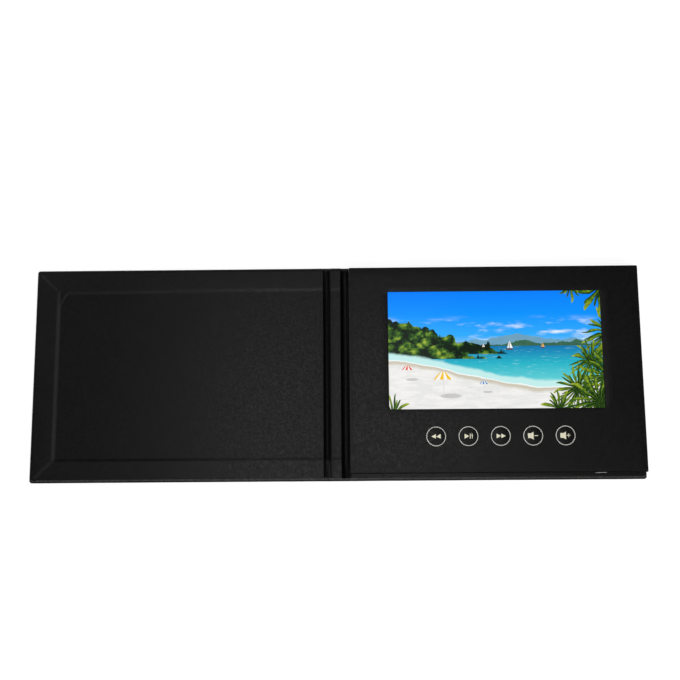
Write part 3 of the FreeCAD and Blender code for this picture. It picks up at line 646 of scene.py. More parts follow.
# Slot: first colour, second colour, size of the pattern along each axis in mm, roughness, metal, relief in mm
INNER_FINISHES = {
    "greyboard": ((0.33, 0.32, 0.30), (0.39, 0.38, 0.35), (1.2, 0.5, 0.2), 0.9, 0.0, 0.02),
    "magnet": ((0.58, 0.58, 0.60), (0.66, 0.66, 0.68), (0.6, 0.6, 0.6), 0.25, 1.0, 0.003),
    "speaker_magnet": ((0.42, 0.42, 0.44), (0.50, 0.50, 0.52), (0.6, 0.6, 0.6), 0.3, 1.0, 0.003),
    "adhesive": ((0.68, 0.68, 0.66), (0.74, 0.74, 0.72), (3.0, 3.0, 3.0), 0.6, 0.0, 0.02),
    "foam": ((0.024, 0.024, 0.025), (0.045, 0.045, 0.046), (0.4, 0.4, 0.4), 0.95, 0.0, 0.1),
    "tray_steel": ((0.50, 0.50, 0.51), (0.60, 0.60, 0.61), (8.0, 0.15, 0.15), 0.35, 1.0, 0.004),
    "light_guide": ((0.83, 0.85, 0.88), (0.88, 0.90, 0.93), (0.5, 0.5, 0.5), 0.2, 0.0, 0.004),
    "flat_cable": ((0.40, 0.21, 0.05), (0.55, 0.32, 0.10), (0.5, 12.0, 0.5), 0.35, 0.0, 0.01),
    "plungers": ((0.026, 0.026, 0.027), (0.036, 0.036, 0.037), (0.3, 0.3, 0.3), 0.5, 0.0, 0.01),
    "switches": ((0.042, 0.042, 0.043), (0.060, 0.060, 0.062), (0.3, 0.3, 0.3), 0.5, 0.0, 0.01),
    "circuit_board": ((0.012, 0.12, 0.05), (0.035, 0.22, 0.09), (2.2, 0.4, 1.0), 0.3, 0.0, 0.02),
    "chips": ((0.016, 0.016, 0.018), (0.026, 0.026, 0.028), (0.2, 0.2, 0.2), 0.6, 0.0, 0.01),
    "connectors": ((0.70, 0.68, 0.61), (0.80, 0.78, 0.71), (0.8, 0.8, 0.8), 0.45, 0.0, 0.01),
    "socket_steel": ((0.80, 0.80, 0.82), (0.93, 0.93, 0.95), (0.9, 0.25, 0.9), 0.42, 0.4, 0.004),
    "battery_pouch": ((0.55, 0.55, 0.57), (0.66, 0.66, 0.68), (6.0, 4.0, 4.0), 0.3, 1.0, 0.05),
    "lead_insulation": ((0.33, 0.02, 0.02), (0.45, 0.04, 0.03), (2.0, 2.0, 2.0), 0.4, 0.0, 0.005),
    "speaker_plastic": ((0.024, 0.024, 0.025), (0.036, 0.036, 0.037), (0.3, 0.3, 0.3), 0.5, 0.0, 0.01),
    "speaker_paper": ((0.055, 0.055, 0.055), (0.085, 0.085, 0.083), (0.6, 0.6, 0.6), 0.85, 0.0, 0.03),
}


# ---------------------------------------------------------------- the lit picture

class Picture(Finish):
    """The picture on the screen: a sea bay under a blue sky, in units of the window's width."""

    HORIZON = 0.53
    SAIL, ORANGE_SAIL, HULL = (0.95, 0.95, 0.93), (0.90, 0.45, 0.10), (0.10, 0.05, 0.04)

    def __init__(self, name):
        super().__init__(name)
        block = bpy.context.scene.brochure_block
        size = Vector(block.window_size)
        corner = Vector(block.window_middle) - size / 2
        self.spot = self.add("ShaderNodeMapping", {
            "Vector": self.place, "Location": (-corner.x / size.y, -corner.y / size.y, 0.0),
            "Scale": (1 / size.y, 1 / size.y, 0.0)}).outputs[0]
        self.across, self.up = self.parts(self.spot)[:2]
        self.colour = None

    def scaled(self, across, up, shift=0.0):
        """The spot in the picture on a finer or coarser scale."""
        return self.add("ShaderNodeMapping", {
            "Vector": self.spot, "Location": (shift, shift, 0.0), "Scale": (across, up, 1.0)}).outputs[0]

    def from_spot(self, x, y, size):
        """Steps across and up from a spot, in units of some size."""
        return (self.across - x) / size, (self.up - y) / size

    def paint(self, share, colour):
        """Lays a colour over the picture so far."""
        self.colour = self.mix(share, self.colour, colour)

    def line(self, height, swell, waves, shift):
        """The height of an uneven line across the picture."""
        return self.noise(self.scaled(waves, 0.0, shift), 1.0, 5.0, 0.6) * swell + height

    def below(self, line, softness=0.004):
        """All that lies below a line."""
        return self.fade(line - self.up, 0.0, softness)

    def sky(self):
        """Deep blue above, pale over the water, with flat clouds."""
        self.colour = self.ramp(self.up, [
            (self.HORIZON, (0.22, 0.54, 0.90)), (0.62, (0.03, 0.41, 0.98)), (0.80, (0.002, 0.29, 0.99)),
            (1.0, (0.001, 0.21, 0.98))])
        puffs = self.noise(self.scaled(2.1, 8.0, 3.1), 1.0, 7.0, 0.58)
        band = self.within(self.up, 0.60, 0.70, 0.10)
        self.paint(self.fade(puffs, 0.50, 0.66) * band, (0.78, 0.88, 0.98))

    def hills(self):
        """Two hazy ranges of hills along the horizon."""
        for height, swell, waves, shift, low, high in (
                (0.47, 0.24, 1.9, 7.3, (0.12, 0.30, 0.47), (0.20, 0.42, 0.55)),
                (0.44, 0.22, 3.1, 2.2, (0.015, 0.075, 0.06), (0.07, 0.20, 0.10))):
            slopes = self.noise(self.scaled(14.0, 18.0, shift), 1.0, 5.0, 0.65)
            self.paint(self.below(self.line(height, swell, waves, shift)), self.mix(slopes, low, high))

    def sea(self):
        """Water that turns from deep blue to pale turquoise towards the shore, with ripples."""
        water = self.ramp(self.up, [
            (0.16, (0.42, 0.80, 0.78)), (0.26, (0.10, 0.60, 0.66)), (0.38, (0.020, 0.46, 0.58)),
            (0.47, (0.010, 0.28, 0.50)), (self.HORIZON, (0.006, 0.17, 0.42))])
        glints = self.fade(self.noise(self.scaled(9.0, 95.0, 1.7), 1.0, 4.0, 0.6), 0.56, 0.74)
        self.paint(self.below(self.HORIZON, 0.003), self.mix(glints * 0.55, water, (0.45, 0.82, 0.86)))

    def sand(self):
        """A pale beach whose waterline swings across the picture."""
        swing = self.sum("COSINE", self.across * 2.1 + 0.25)
        ragged = self.noise(self.scaled(6.0, 6.0, 5.0), 1.0, 4.0)
        depth = swing * 0.12 + 0.27 + ragged * 0.05 - self.up
        dunes = self.noise(self.scaled(5.0, 26.0, 9.0), 1.0, 6.0, 0.62)
        dry = self.mix(self.fade(dunes, 0.40, 0.62), (0.80, 0.80, 0.79), (0.90, 0.89, 0.87))
        steps = self.fade(self.noise(self.scaled(30.0, 80.0, 4.0), 1.0, 3.0), 0.60, 0.70)
        dry = self.mix(steps * 0.30, dry, (0.60, 0.56, 0.50))
        self.paint(self.within(depth, -0.045, -0.012, 0.03), (0.55, 0.86, 0.84))
        self.paint(self.fade(depth, -0.004, 0.004), (0.62, 0.57, 0.46))
        self.paint(self.fade(depth, 0.012, 0.05), dry)
        self.paint(self.within(depth, -0.006, 0.001, 0.003) * 0.9, (0.92, 0.96, 0.96))

    def leaves(self, scale, shift):
        """Broken greens, from deep shade to sunlit yellow."""
        clumps = self.cells(self.scaled(scale * 0.35, scale * 0.42, shift), 1.0)
        sprigs = self.noise(self.scaled(scale, scale * 1.3, shift), 1.0, 5.0, 0.72)
        return self.ramp(sprigs * 1.5 + 0.05 - clumps, [
            (0.10, (0.003, 0.012, 0.004)), (0.30, (0.018, 0.070, 0.010)),
            (0.48, (0.085, 0.20, 0.018)), (0.72, (0.34, 0.44, 0.045))])

    def trees(self):
        """A wooded point that runs out from the left, with bushes at its foot."""
        for height, fall, swell, waves, shift, foot in ((0.72, -0.28, 0.18, 6.0, 1.3, 0.46),
                                                        (0.56, -0.20, 0.14, 11.0, 6.1, 0.42)):
            crowns = self.line(height, swell, waves, shift) + self.across * fall
            tufts = self.cells(self.scaled(13.0, 13.0, shift), 1.0) * -0.07
            over_foot = self.fade(self.up, foot - 0.004, foot + 0.006)
            self.paint(self.below(crowns + tufts, 0.006) * over_foot, self.leaves(34.0, shift))

    def boats(self):
        """Small boats with two sails each."""
        for x, y, size, tint in ((1.02, 0.505, 0.075, self.SAIL), (1.30, 0.515, 0.045, self.ORANGE_SAIL),
                                 (0.80, 0.52, 0.035, self.SAIL)):
            dx, dy = self.from_spot(x, y, size)
            taper = dy * -0.42 + 0.46
            ahead = self.fade(taper - dx, 0.0, 0.06) * self.fade(dx, 0.02, 0.06)
            behind = self.fade(taper * 0.62 + dx, 0.0, 0.06) * self.fade(dx, -0.02, -0.06)
            self.paint(self.most(ahead, behind) * self.fade(dy, 0.06, 0.10), tint)
            hull = self.fade(dy * 0.8 + 0.45 - abs(dx), 0.0, 0.05) * self.within(dy, -0.12, 0.02, 0.02)
            self.paint(hull, self.HULL)

    def parasols(self):
        """Striped parasols on the beach, each with its pole and its shade."""
        for x, y, size, first in ((0.46, 0.245, 0.17, (0.90, 0.55, 0.02)),
                                  (0.16, 0.33, 0.10, (0.75, 0.05, 0.03)),
                                  (0.80, 0.205, 0.08, (0.03, 0.22, 0.55))):
            dx, dy = self.from_spot(x, y, size)
            shade = self.length(dx - 0.35, dy * 4.5 + 3.6)
            self.paint(self.fade(shade, 0.62, 0.42) * 0.55, (0.36, 0.34, 0.36))
            pole = self.fade(abs(dx), 0.022, 0.012) * self.within(dy, -0.78, 0.05, 0.01)
            self.paint(pole, (0.75, 0.72, 0.66))
            scallop = abs(self.sum("SINE", dx * 25.0)) * 0.05
            cover = self.fade(0.42 - dx ** 2.0 * 1.68 - dy, 0.0, 0.03) * self.fade(dy + scallop, 0.03, 0.06)
            ribs = self.sum("SINE", dx / (1.05 - dy * 2.0) * 16.0)
            self.paint(cover, self.mix(self.fade(ribs, -0.15, 0.15), first, (0.93, 0.92, 0.88)))

    def plant(self, x, y, size, count, turn, droop):
        """One leafy plant whose pointed leaves arch out from its heart, the lit ones over the shaded ones."""
        dx, rise = self.from_spot(x, y, size)
        dy = rise + dx ** 2.0 * droop
        reach = self.length(dx, dy)
        bend = self.noise(self.scaled(9.0, 9.0, turn), 1.0, 1.0) * 0.35
        angle = self.sum("ARCTAN2", dy, dx) + bend
        veins = self.noise(self.scaled(42.0, 42.0, turn), 1.0, 4.0, 0.75)
        for leaves, spin, length, narrow, tones in (
                (count + 6, turn + 1.0, 0.92, 1.1, ((0.001, 0.006, 0.002), (0.010, 0.045, 0.004),
                                                    (0.05, 0.13, 0.008), (0.16, 0.26, 0.02))),
                (count, turn, 1.0, 1.6, ((0.004, 0.016, 0.003), (0.05, 0.13, 0.008),
                                         (0.28, 0.38, 0.02), (0.80, 0.74, 0.12)))):
            wave = self.sum("COSINE", angle * leaves + spin)
            blade = (wave * 0.5 + 0.5) ** narrow
            uneven = self.sum("COSINE", angle * 5.0 + spin * 3) * 0.16 + 0.80
            tip = uneven * (blade * (0.78 * length) + 0.20)
            light = blade * 0.40 + veins * 0.80 + reach * 0.35 - 0.58
            self.paint(self.fade(tip - reach, 0.0, 0.02),
                       self.ramp(light, list(zip((0.0, 0.26, 0.50, 0.82), tones))))

    def garden(self):
        """Plants that fill the near corner on the right and hang in from above."""
        for plant in ((1.88, 0.62, 0.30, 17, 0.4, 0.35), (1.70, 0.40, 0.22, 15, 2.0, 0.45),
                      (1.86, 0.27, 0.36, 19, 1.1, 0.30), (1.58, 0.16, 0.24, 15, 2.8, 0.40),
                      (1.76, 0.05, 0.34, 17, 0.0, 0.35), (1.42, -0.01, 0.20, 13, 1.9, 0.40),
                      (1.82, 1.04, 0.34, 13, 0.9, -0.55), (1.56, 1.06, 0.18, 11, 2.3, -0.60),
                      (0.03, -0.04, 0.20, 13, 0.6, 0.40)):
            self.plant(*plant)

    def glass(self, brightness):
        """The finished screen: the picture glows behind smooth glass."""
        for layer in (self.sky, self.hills, self.sea, self.trees, self.boats, self.sand, self.parasols,
                      self.garden):
            layer()
        smears = self.noise(self.place, 45.0, 3.0)
        return self.surface(
            Base_Color=(0.004, 0.004, 0.005), Emission_Color=self.colour, Emission_Strength=brightness,
            Specular_IOR_Level=0.03, Roughness=smears * 0.08 + 0.12)


# ---------------------------------------------------------------- the case

def open_wrap(wrap, node, board, mouth, sides):
    """Hollows a wrap out for its board and between its turn-ins, and cuts its sides back in the grooves."""
    case = bpy.context.scene.brochure_case
    low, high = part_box(node)
    board_low, board_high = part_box(board)
    carve(wrap, slab("pocket", board_low, board_high))
    carve(wrap, slab("mouth", (mouth[0], low.y + case.turn_in, board_high.z - CLEARANCE),
                     (mouth[1], high.y - case.turn_in, high.z + MM)))
    for start, end in sides:
        carve(wrap, slab("groove", (start, low.y - MM, board_low.z), (end, high.y + MM, high.z + MM)))
    smooth(wrap)
    return wrap


def cover_wrap(name, node, board, side):
    """The leatherette folded round one board; the hinge lies towards the given side."""
    case = bpy.context.scene.brochure_case
    low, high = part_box(node)
    hinge_x, fore_x = (high.x, low.x) if side > 0 else (low.x, high.x)
    wrap = slab(name, low, high)
    bevel(wrap, lambda edge: edge_on(0, fore_x)(edge) and near(edge.verts[0].co.y, edge.verts[1].co.y),
          case.corner_radius, 8)
    for z, radius, steps in ((high.z, case.edge_radius, 5), (low.z, case.heel_radius, 3)):
        bevel(wrap, lambda edge: edge_on(2, z)(edge) and not edge_on(0, hinge_x)(edge), radius, steps)
    slice_in_lengths(wrap, 0, low.x, high.x, FOLD_LENGTH)
    slice_in_lengths(wrap, 1, low.y, high.y, FOLD_LENGTH)
    wander(wrap, case.unevenness, WANDER_SIZE)
    mouth = sorted((fore_x + side * case.turn_in, hinge_x + side * MM))
    groove = sorted((hinge_x - side * case.lining, hinge_x + side * MM))
    return open_wrap(wrap, node, board, mouth, [groove])


def spine_wrap():
    """The leatherette round the spine board."""
    case = bpy.context.scene.brochure_case
    low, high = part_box("spine_wrap")
    board_low, board_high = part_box("spine_board")
    wrap = slab("spine_leather", low, high)
    for z, radius, steps in ((high.z, case.edge_radius * 0.6, 4), (low.z, case.heel_radius, 3)):
        bevel(wrap, lambda edge: edge_on(2, z)(edge) and near(edge.verts[0].co.y, edge.verts[1].co.y),
              radius, steps)
    slice_in_lengths(wrap, 1, low.y, high.y, FOLD_LENGTH)
    wander(wrap, case.unevenness * 0.6, WANDER_SIZE)
    return open_wrap(wrap, "spine_wrap", "spine_board", (low.x - MM, high.x + MM),
                     ((low.x - MM, board_low.x), (board_high.x, high.x + MM)))


def cover_lining(name, node, side, chamfer):
    """The sheet glued over the turn-ins: raised bands, soft steps, mitres, and the wall in the groove."""
    case = bpy.context.scene.brochure_case
    low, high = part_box(node)
    hinge_x, fore_x = (high.x, low.x) if side > 0 else (low.x, high.x)
    drop = case.skin
    band = case.turn_in - (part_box("front_lining")[0].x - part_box("front_wrap")[0].x)
    spare = band + 2 * case.slope
    ends = sorted((fore_x, hinge_x + side * spare))
    lining = sheet(name, (ends[0], low.y), (ends[1], high.y), high.z)
    with editing(lining, "FACE"):
        bpy.ops.mesh.select_all(action="SELECT")
        bpy.ops.mesh.inset(thickness=band)
        bpy.ops.mesh.inset(thickness=case.slope)
        bpy.ops.transform.translate(value=(0, 0, -drop))
    for end in (-1, 1):
        move(lining, lambda vertex: vertex.co.z < high.z - drop / 2 and vertex.co.y * end > 0,
             (0, end * (case.slope - case.end_slope), 0))
    slice_at(lining, (hinge_x, 0, 0), (side, 0, 0), drop_beyond=True)
    if chamfer:
        corner_patch(lining, chamfer, drop, high.z)
    soften_steps(lining)
    groove_wall(lining, hinge_x, low.z)
    return thickened(lining)


def thickened(lining):
    """The lining with a real thickness, a little less than its node's."""
    thickness = bpy.context.scene.brochure_case.lining * 0.95
    add_modifier(lining, "SOLIDIFY", thickness=thickness, offset=-1.0, use_even_offset=True)
    smooth(lining, 40.0)
    return lining


def soften_steps(lining):
    """Rounds the top and the foot of each step."""
    bevel(lining, lambda edge: len(edge.link_faces) == 2 and edge.calc_face_angle() > math.radians(3),
          0.8 * MM, 4)


def corner_patch(lining, chamfer, drop, top):
    """Cuts off one corner of the hollow, where the folded corner of the leatherette lies under the lining."""
    first, last = (Vector((*corner, 0.0)) for corner in chamfer)
    along = (last - first).normalized()
    out = Vector((along.y, -along.x, 0.0))
    half = bpy.context.scene.brochure_case.end_slope / 2
    for shift in (-half, half):
        slice_at(lining, first + out * shift, out)
    middle, reach = (first + last) / 2, (last - first).length

    def in_corner(vertex):
        step = vertex.co - middle
        return vertex.co.z < top - drop / 2 and step.dot(out) > half - TOLERANCE and step.length < reach
    move(lining, in_corner, (0, 0, drop * 0.7))


def mitre_ridges(material):
    """The two soft ridges at the fore corners of the cover, where the turn-ins lap, modelled once."""
    case = bpy.context.scene.brochure_case
    rim, half, rows, columns = 2.6 * MM, 2.0 * MM, 8, 9
    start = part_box("front_wrap")[0] + Vector((rim, rim, 0.0))
    length = math.sqrt(2) * (case.turn_in - rim) + MM
    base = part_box("front_lining")[1].z - 0.02 * MM
    ridge = slab("ridge", (0.0, -half, base - 0.06 * MM), (length, half, base))
    slice_at_each(ridge, 0, between(0.0, length, columns))
    slice_at_each(ridge, 1, between(-half, half, rows))
    for y in between(-half, half, rows):
        move(ridge, lambda vertex: near(vertex.co.y, y) and vertex.co.z > base - TOLERANCE
             and TOLERANCE < vertex.co.x < length - TOLERANCE,
             (0, 0, case.ridge_height * (1 - (y / half) ** 2) ** 2))
    smooth(ridge, 60.0)
    ridge.data.materials.append(material)
    for name, side in (("tail_ridge", 1), ("head_ridge", -1)):
        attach(copied(ridge, name, start.x, side * start.y, side * math.radians(45.0)), "front_cover")
    bpy.data.objects.remove(ridge)


def groove_wall(lining, hinge_x, foot):
    """Takes the lining down into the groove beside it and rounds the edge it turns over."""
    with editing(lining, "EDGE"):
        pick(lining, "edges", lambda edge: edge.is_boundary and edge_on(0, hinge_x)(edge))
        bpy.ops.mesh.extrude_region_move(TRANSFORM_OT_translate={"value": (0, 0, -MM)})
        bpy.ops.transform.resize(value=(1, 1, 0), center_override=(hinge_x, 0, foot))
    bevel(lining, lambda edge: edge_on(0, hinge_x)(edge) and not edge.is_boundary
          and span(edge, 2) < 0.6 * span(edge, 1), bpy.context.scene.brochure_case.edge_radius, 5)


def spine_lining():
    """The lining over the spine, with the bands at head and tail and a wall in each groove."""
    case = bpy.context.scene.brochure_case
    low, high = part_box("spine_lining")
    wrap_low, wrap_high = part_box("spine_wrap")
    lining = sheet("spine_lining_sheet", low, high, high.z)
    step_tail, step_head = wrap_low.y + case.turn_in, wrap_high.y - case.turn_in
    slice_at_each(lining, 1, (step_tail, step_tail + case.end_slope, step_head - case.end_slope, step_head))
    move(lining, lambda vertex: step_tail + TOLERANCE < vertex.co.y < step_head - TOLERANCE,
         (0, 0, -case.skin))
    soften_steps(lining)
    for hinge_x in (low.x, high.x):
        groove_wall(lining, hinge_x, low.z)
    return thickened(lining)


def hinge_fold(name, node, groove_shaded, leather, end_rise, shaded_start):
    """Leatherette and lining pressed together in a groove: a hollow above and below, closed at both ends.

    The floor rises a little where it crosses the turn-ins. The darker groove finish, a painted shade, runs
    from some way off the tail to the lip at the head.
    """
    case = bpy.context.scene.brochure_case
    low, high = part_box(node)
    floor = low.z + case.skin + case.lining
    columns, lip_start, lip_end = 14, HINGE_LIP * 0.7, HINGE_LIP * 0.85
    fold = slab(name, low, (high.x, high.y, floor))
    slice_at_each(fold, 0, between(low.x, high.x, columns))
    step_tail, step_head = low.y + case.turn_in, high.y - case.turn_in
    slice_at_each(fold, 1, (
        low.y + lip_start, low.y + HINGE_LIP, step_tail, step_tail + case.slope,
        step_head - case.slope, step_head, high.y - HINGE_LIP, high.y - lip_start))
    slice_in_lengths(fold, 1, step_tail + case.slope, step_head - case.slope, FOLD_LENGTH)

    def on_top(vertex):
        return vertex.co.z > floor - TOLERANCE
    move(fold, lambda vertex: on_top(vertex)
         and not step_tail + TOLERANCE < vertex.co.y < step_head - TOLERANCE, (0, 0, end_rise))
    for x in (low.x, *between(low.x, high.x, columns), high.x):
        across = 2.0 * (x - low.x) / (high.x - low.x) - 1.0
        climb = case.groove_rise * (0.75 * across ** 2 + 0.25 * across ** 6)
        move(fold, lambda vertex: near(vertex.co.x, x) and on_top(vertex), (0, 0, climb))
        level = case.groove_lip + 0.35 * MM * across ** 2 - climb
        move(fold, lambda vertex: near(vertex.co.x, x) and on_top(vertex)
             and not low.y + lip_end < vertex.co.y < high.y - lip_end, (0, 0, level))
        move(fold, lambda vertex: near(vertex.co.x, x) and vertex.co.z < low.z + TOLERANCE,
             (0, 0, 0.2 * MM * (1.0 - across ** 4)))
    for z, radius, steps in ((floor, case.edge_radius, 4), (low.z, case.heel_radius, 2)):
        bevel(fold, lambda edge: (edge_on(1, low.y)(edge) or edge_on(1, high.y)(edge))
              and not edge.is_boundary and span(edge, 0) > TOLERANCE
              and on_top(edge.verts[0]) == (z == floor), radius, steps)
    fold.data.materials.append(groove_shaded)
    fold.data.materials.append(leather)
    # Top faces of the floor take the darker groove finish, a painted shade; the rest the plain leatherette
    for face in fold.data.polygons:
        inside = low.y + shaded_start < face.center.y < high.y - lip_start and face.normal.z > 0.1
        face.material_index = int(not inside)
    smooth(fold, 60.0)
    return fold


# ---------------------------------------------------------------- the box and its keys

def window_box(name, grow, low_z, high_z):
    """A block that fills the window, larger by some growth on each side."""
    block = bpy.context.scene.brochure_block
    half = Vector(block.window_size) / 2 + Vector((grow, grow))
    middle = Vector(block.window_middle)
    return slab(name, (*(middle - half), low_z), (*(middle + half), high_z))


def middle_of(node):
    """The middle of a node's box."""
    low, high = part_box(node)
    return (low + high) / 2


def box_skin():
    """Leatherette over the face and sides of the box, turned down into the window."""
    block = bpy.context.scene.brochure_block
    keys = bpy.context.scene.brochure_keys
    low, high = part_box("block_skin")
    panel_low, panel_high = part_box("face_panel")
    skin = slab("block_leather", low, high)
    bevel(skin, lambda edge: span(edge, 0) < TOLERANCE and span(edge, 1) < TOLERANCE, block.corner_radius, 6)
    bevel(skin, edge_on(2, high.z), block.edge_radius, 5)
    length, unevenness, size = 7 * MM, 0.05 * MM, 16 * MM
    slice_in_lengths(skin, 0, low.x, high.x, length)
    slice_in_lengths(skin, 1, low.y, high.y, length)
    wander(skin, unevenness, size)

    card = slab("card", (panel_low.x, panel_low.y, low.z - MM), (panel_high.x, panel_high.y, panel_high.z))
    carve(card, window_box("lip", block.skin, panel_low.z, high.z))
    carve(skin, card)
    carve(skin, window_box("opening", 0.0, low.z - MM, high.z + MM))
    half, middle = Vector(block.window_size) / 2, Vector(block.window_middle)

    def window_rim(edge):
        step = (edge.verts[0].co + edge.verts[1].co).xy / 2 - middle
        inside = abs(step.x) < half.x + TOLERANCE and abs(step.y) < half.y + TOLERANCE
        return inside and all(vertex.co.z > high.z - 0.2 * MM for vertex in edge.verts)
    hole_radius = keys.cap_radius + keys.gap
    for node in SIGNS:
        place = middle_of(node)
        carve(skin, drum(node + "_hole", place.x, place.y, panel_low.z, high.z + MM, hole_radius))
    port_low, port_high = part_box("micro_socket")
    beside, above = 0.5 * MM, 0.12 * MM
    port = slab("port", (port_low.x - beside, low.y - MM, port_low.z - above),
                (port_high.x + beside, low.y + 2 * block.skin, port_high.z + above))
    bevel(port, lambda edge: span(edge, 1) > TOLERANCE, 0.8 * MM, 5)
    carve(skin, port)
    bevel(skin, window_rim, block.window_radius, 3)
    smooth(skin)
    return skin


def key_cap():
    """A round key on a square flange that lies under the panel, modelled over the middle of the frame."""
    keys = bpy.context.scene.brochure_keys
    low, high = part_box("play_key")
    panel_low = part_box("face_panel")[0].z
    reach = (high.x - low.x) / 2
    cap = drum("key_cap", 0.0, 0.0, low.z, high.z, keys.cap_radius)
    flange = slab("flange", (-reach, -reach, low.z), (reach, reach, panel_low))
    bevel(flange, lambda edge: span(edge, 2) > TOLERANCE, keys.flange_corner, 1)
    carve(cap, flange, "UNION")
    bevel(cap, edge_on(2, high.z), keys.edge, 3)
    smooth(cap)
    return cap


def flat_shape(corners, z):
    """A flat shape with straight sides, for a printed sign."""
    shape = disc("sign", len(corners), MM, z)
    starts = [vertex.co.copy() for vertex in shape.data.vertices]
    for start, (x, y) in zip(starts, corners):
        step = (x * MM - start.x, y * MM - start.y, 0)
        move(shape, lambda vertex: (vertex.co - start).length < TOLERANCE, step)
    return shape


# Outlines of the signs on the keys in millimetres from the key's middle, each going round clockwise
LOUDSPEAKER = [[(-3.7, 1.7), (-1.7, 1.7), (-1.7, -1.7), (-3.7, -1.7)],
               [(-1.75, 1.5), (0.3, 2.7), (0.3, -2.8), (-1.75, -1.6)]]
SIGNS = {
    "rewind_key": [[(-3.35, 0.0), (-0.15, 1.65), (-0.15, -1.65)], [(0.05, 0.0), (3.25, 1.65), (3.25, -1.65)]],
    "play_key": [[(0.55, 0.0), (-2.75, -1.75), (-2.75, 1.75)],
                 [(0.95, 1.7), (1.5, 1.7), (1.5, -1.7), (0.95, -1.7)],
                 [(2.35, 1.7), (2.9, 1.7), (2.9, -1.7), (2.35, -1.7)]],
    "forward_key": [[(0.15, 0.0), (-3.05, -1.65), (-3.05, 1.65)], [(3.55, 0.0), (0.35, -1.65), (0.35, 1.65)]],
    "volume_down_key": [*LOUDSPEAKER, [(1.0, 0.25), (3.4, 0.25), (3.4, -0.25), (1.0, -0.25)]],
    "volume_up_key": [*LOUDSPEAKER, [(0.95, 0.25), (3.35, 0.25), (3.35, -0.25), (0.95, -0.25)],
                      [(1.9, 1.2), (2.4, 1.2), (2.4, -1.2), (1.9, -1.2)]],
}


def printed_ring(top, ink):
    """The flat ring printed on a key, drawn over the middle of the frame."""
    keys = bpy.context.scene.brochure_keys
    ring = disc("printed_ring", 96, keys.ring_radius, top)
    with editing(ring, "FACE"):
        bpy.ops.mesh.select_all(action="SELECT")
        bpy.ops.mesh.inset(thickness=keys.ring_line)
        bpy.ops.mesh.delete(type="FACE")
    ring.data.materials.append(ink)
    return ring


def key_marks(name, ring, outlines, place, foil):
    """One key's ring with its own signs, raised by the thickness of the foil."""
    top = ring.data.vertices[0].co.z
    signs = [flat_shape(corners, top) for corners in outlines]
    for sign in signs:
        sign.data.materials.append(foil)
    marks = copied(ring, name)
    for sign in signs:
        sign.select_set(True)
    bpy.ops.object.join()
    with editing(marks, "FACE"):
        pick(marks, "faces", lambda face: face.normal.z < 0)
        bpy.ops.mesh.flip_normals()
    add_modifier(marks, "SOLIDIFY", thickness=bpy.context.scene.brochure_keys.foil, offset=1.0)
    marks.location = (place.x, place.y, 0.0)
    return settle(marks, name)


# ---------------------------------------------------------------- operators

class BROCHURE_OT_case(bpy.types.Operator):
    """Model the leatherette, the lining and the two soft hinges of the case"""
    bl_idname = "brochure.case"
    bl_label = "Case"

    def execute(self, context):
        case = context.scene.brochure_case
        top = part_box("front_lining")[1].z
        inset = 0.17 * MM
        # The case's edges are lightened by wear and a painted highlight, with a painted highlight line at the
        # tail
        leather = leatherette("case_leatherette", box_wear_and_highlights(*CAD_EDGES, wear=1.0, tail=1.0), depth=0.05 * MM)
        # The lining carries painted highlights and painted shade along its steps
        thin = leatherette("lining_leatherette", steps_with_painted_light(top - case.skin + inset, top - inset))
        # Down in the grooves: a darker, less glossy finish as painted shade, with a painted highlight along
        # the floor
        groove_shaded = leatherette("groove_leatherette", groove_floor_highlight, shade_factor=0.4, gloss=GROOVE_GLOSS)
        # The ridges carry a painted highlight towards their tops
        ridge_highlighted = leatherette("ridge_leatherette", highlighted_above(top - 0.01 * MM, top + 0.09 * MM))
        chamfer = ((-196.4 * MM, 63.6 * MM), (-204.3 * MM, 50.5 * MM))
        for half, body, side, corner in (("front", "front_cover", 1, chamfer), ("back", "block", -1, None)):
            wrap = cover_wrap(half + "_leather", half + "_wrap", half + "_board", side)
            dress(wrap, leather, body, half + "_wrap")
            lining = cover_lining(half + "_lining_sheet", half + "_lining", side, corner)
            dress(lining, thin, body, half + "_lining")
        mitre_ridges(ridge_highlighted)
        dress(spine_wrap(), leather, "spine", "spine_wrap")
        dress(spine_lining(), thin, "spine", "spine_lining")
        for half, bodies, end_rise, shaded_start in (
                ("front", ("front_cover", "spine"), 0.8 * MM, case.turn_in),
                ("back", ("spine", "block"), 0.24 * MM, HINGE_LIP * 0.7)):
            node = half + "_hinge_strip"
            fold = hinge_fold(half + "_hinge_fold", node, groove_shaded, leather, end_rise, shaded_start)
            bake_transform(fold)
            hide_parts(node)
        return {"FINISHED"}


class BROCHURE_OT_box(bpy.types.Operator):
    """Model the skin of the box with its window, key holes and socket port"""
    bl_idname = "brochure.box"
    bl_label = "Box"

    def execute(self, context):
        # The box's edges are lightened by wear and a painted highlight; its tail edge is darkened as painted
        # shade
        marks = box_wear_and_highlights(*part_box("block_skin"), wear=0.45, tail=0.0)
        leather = leatherette("box_leatherette", marks, depth=0.045 * MM)
        dress(box_skin(), leather, "block", "block_skin")
        return {"FINISHED"}


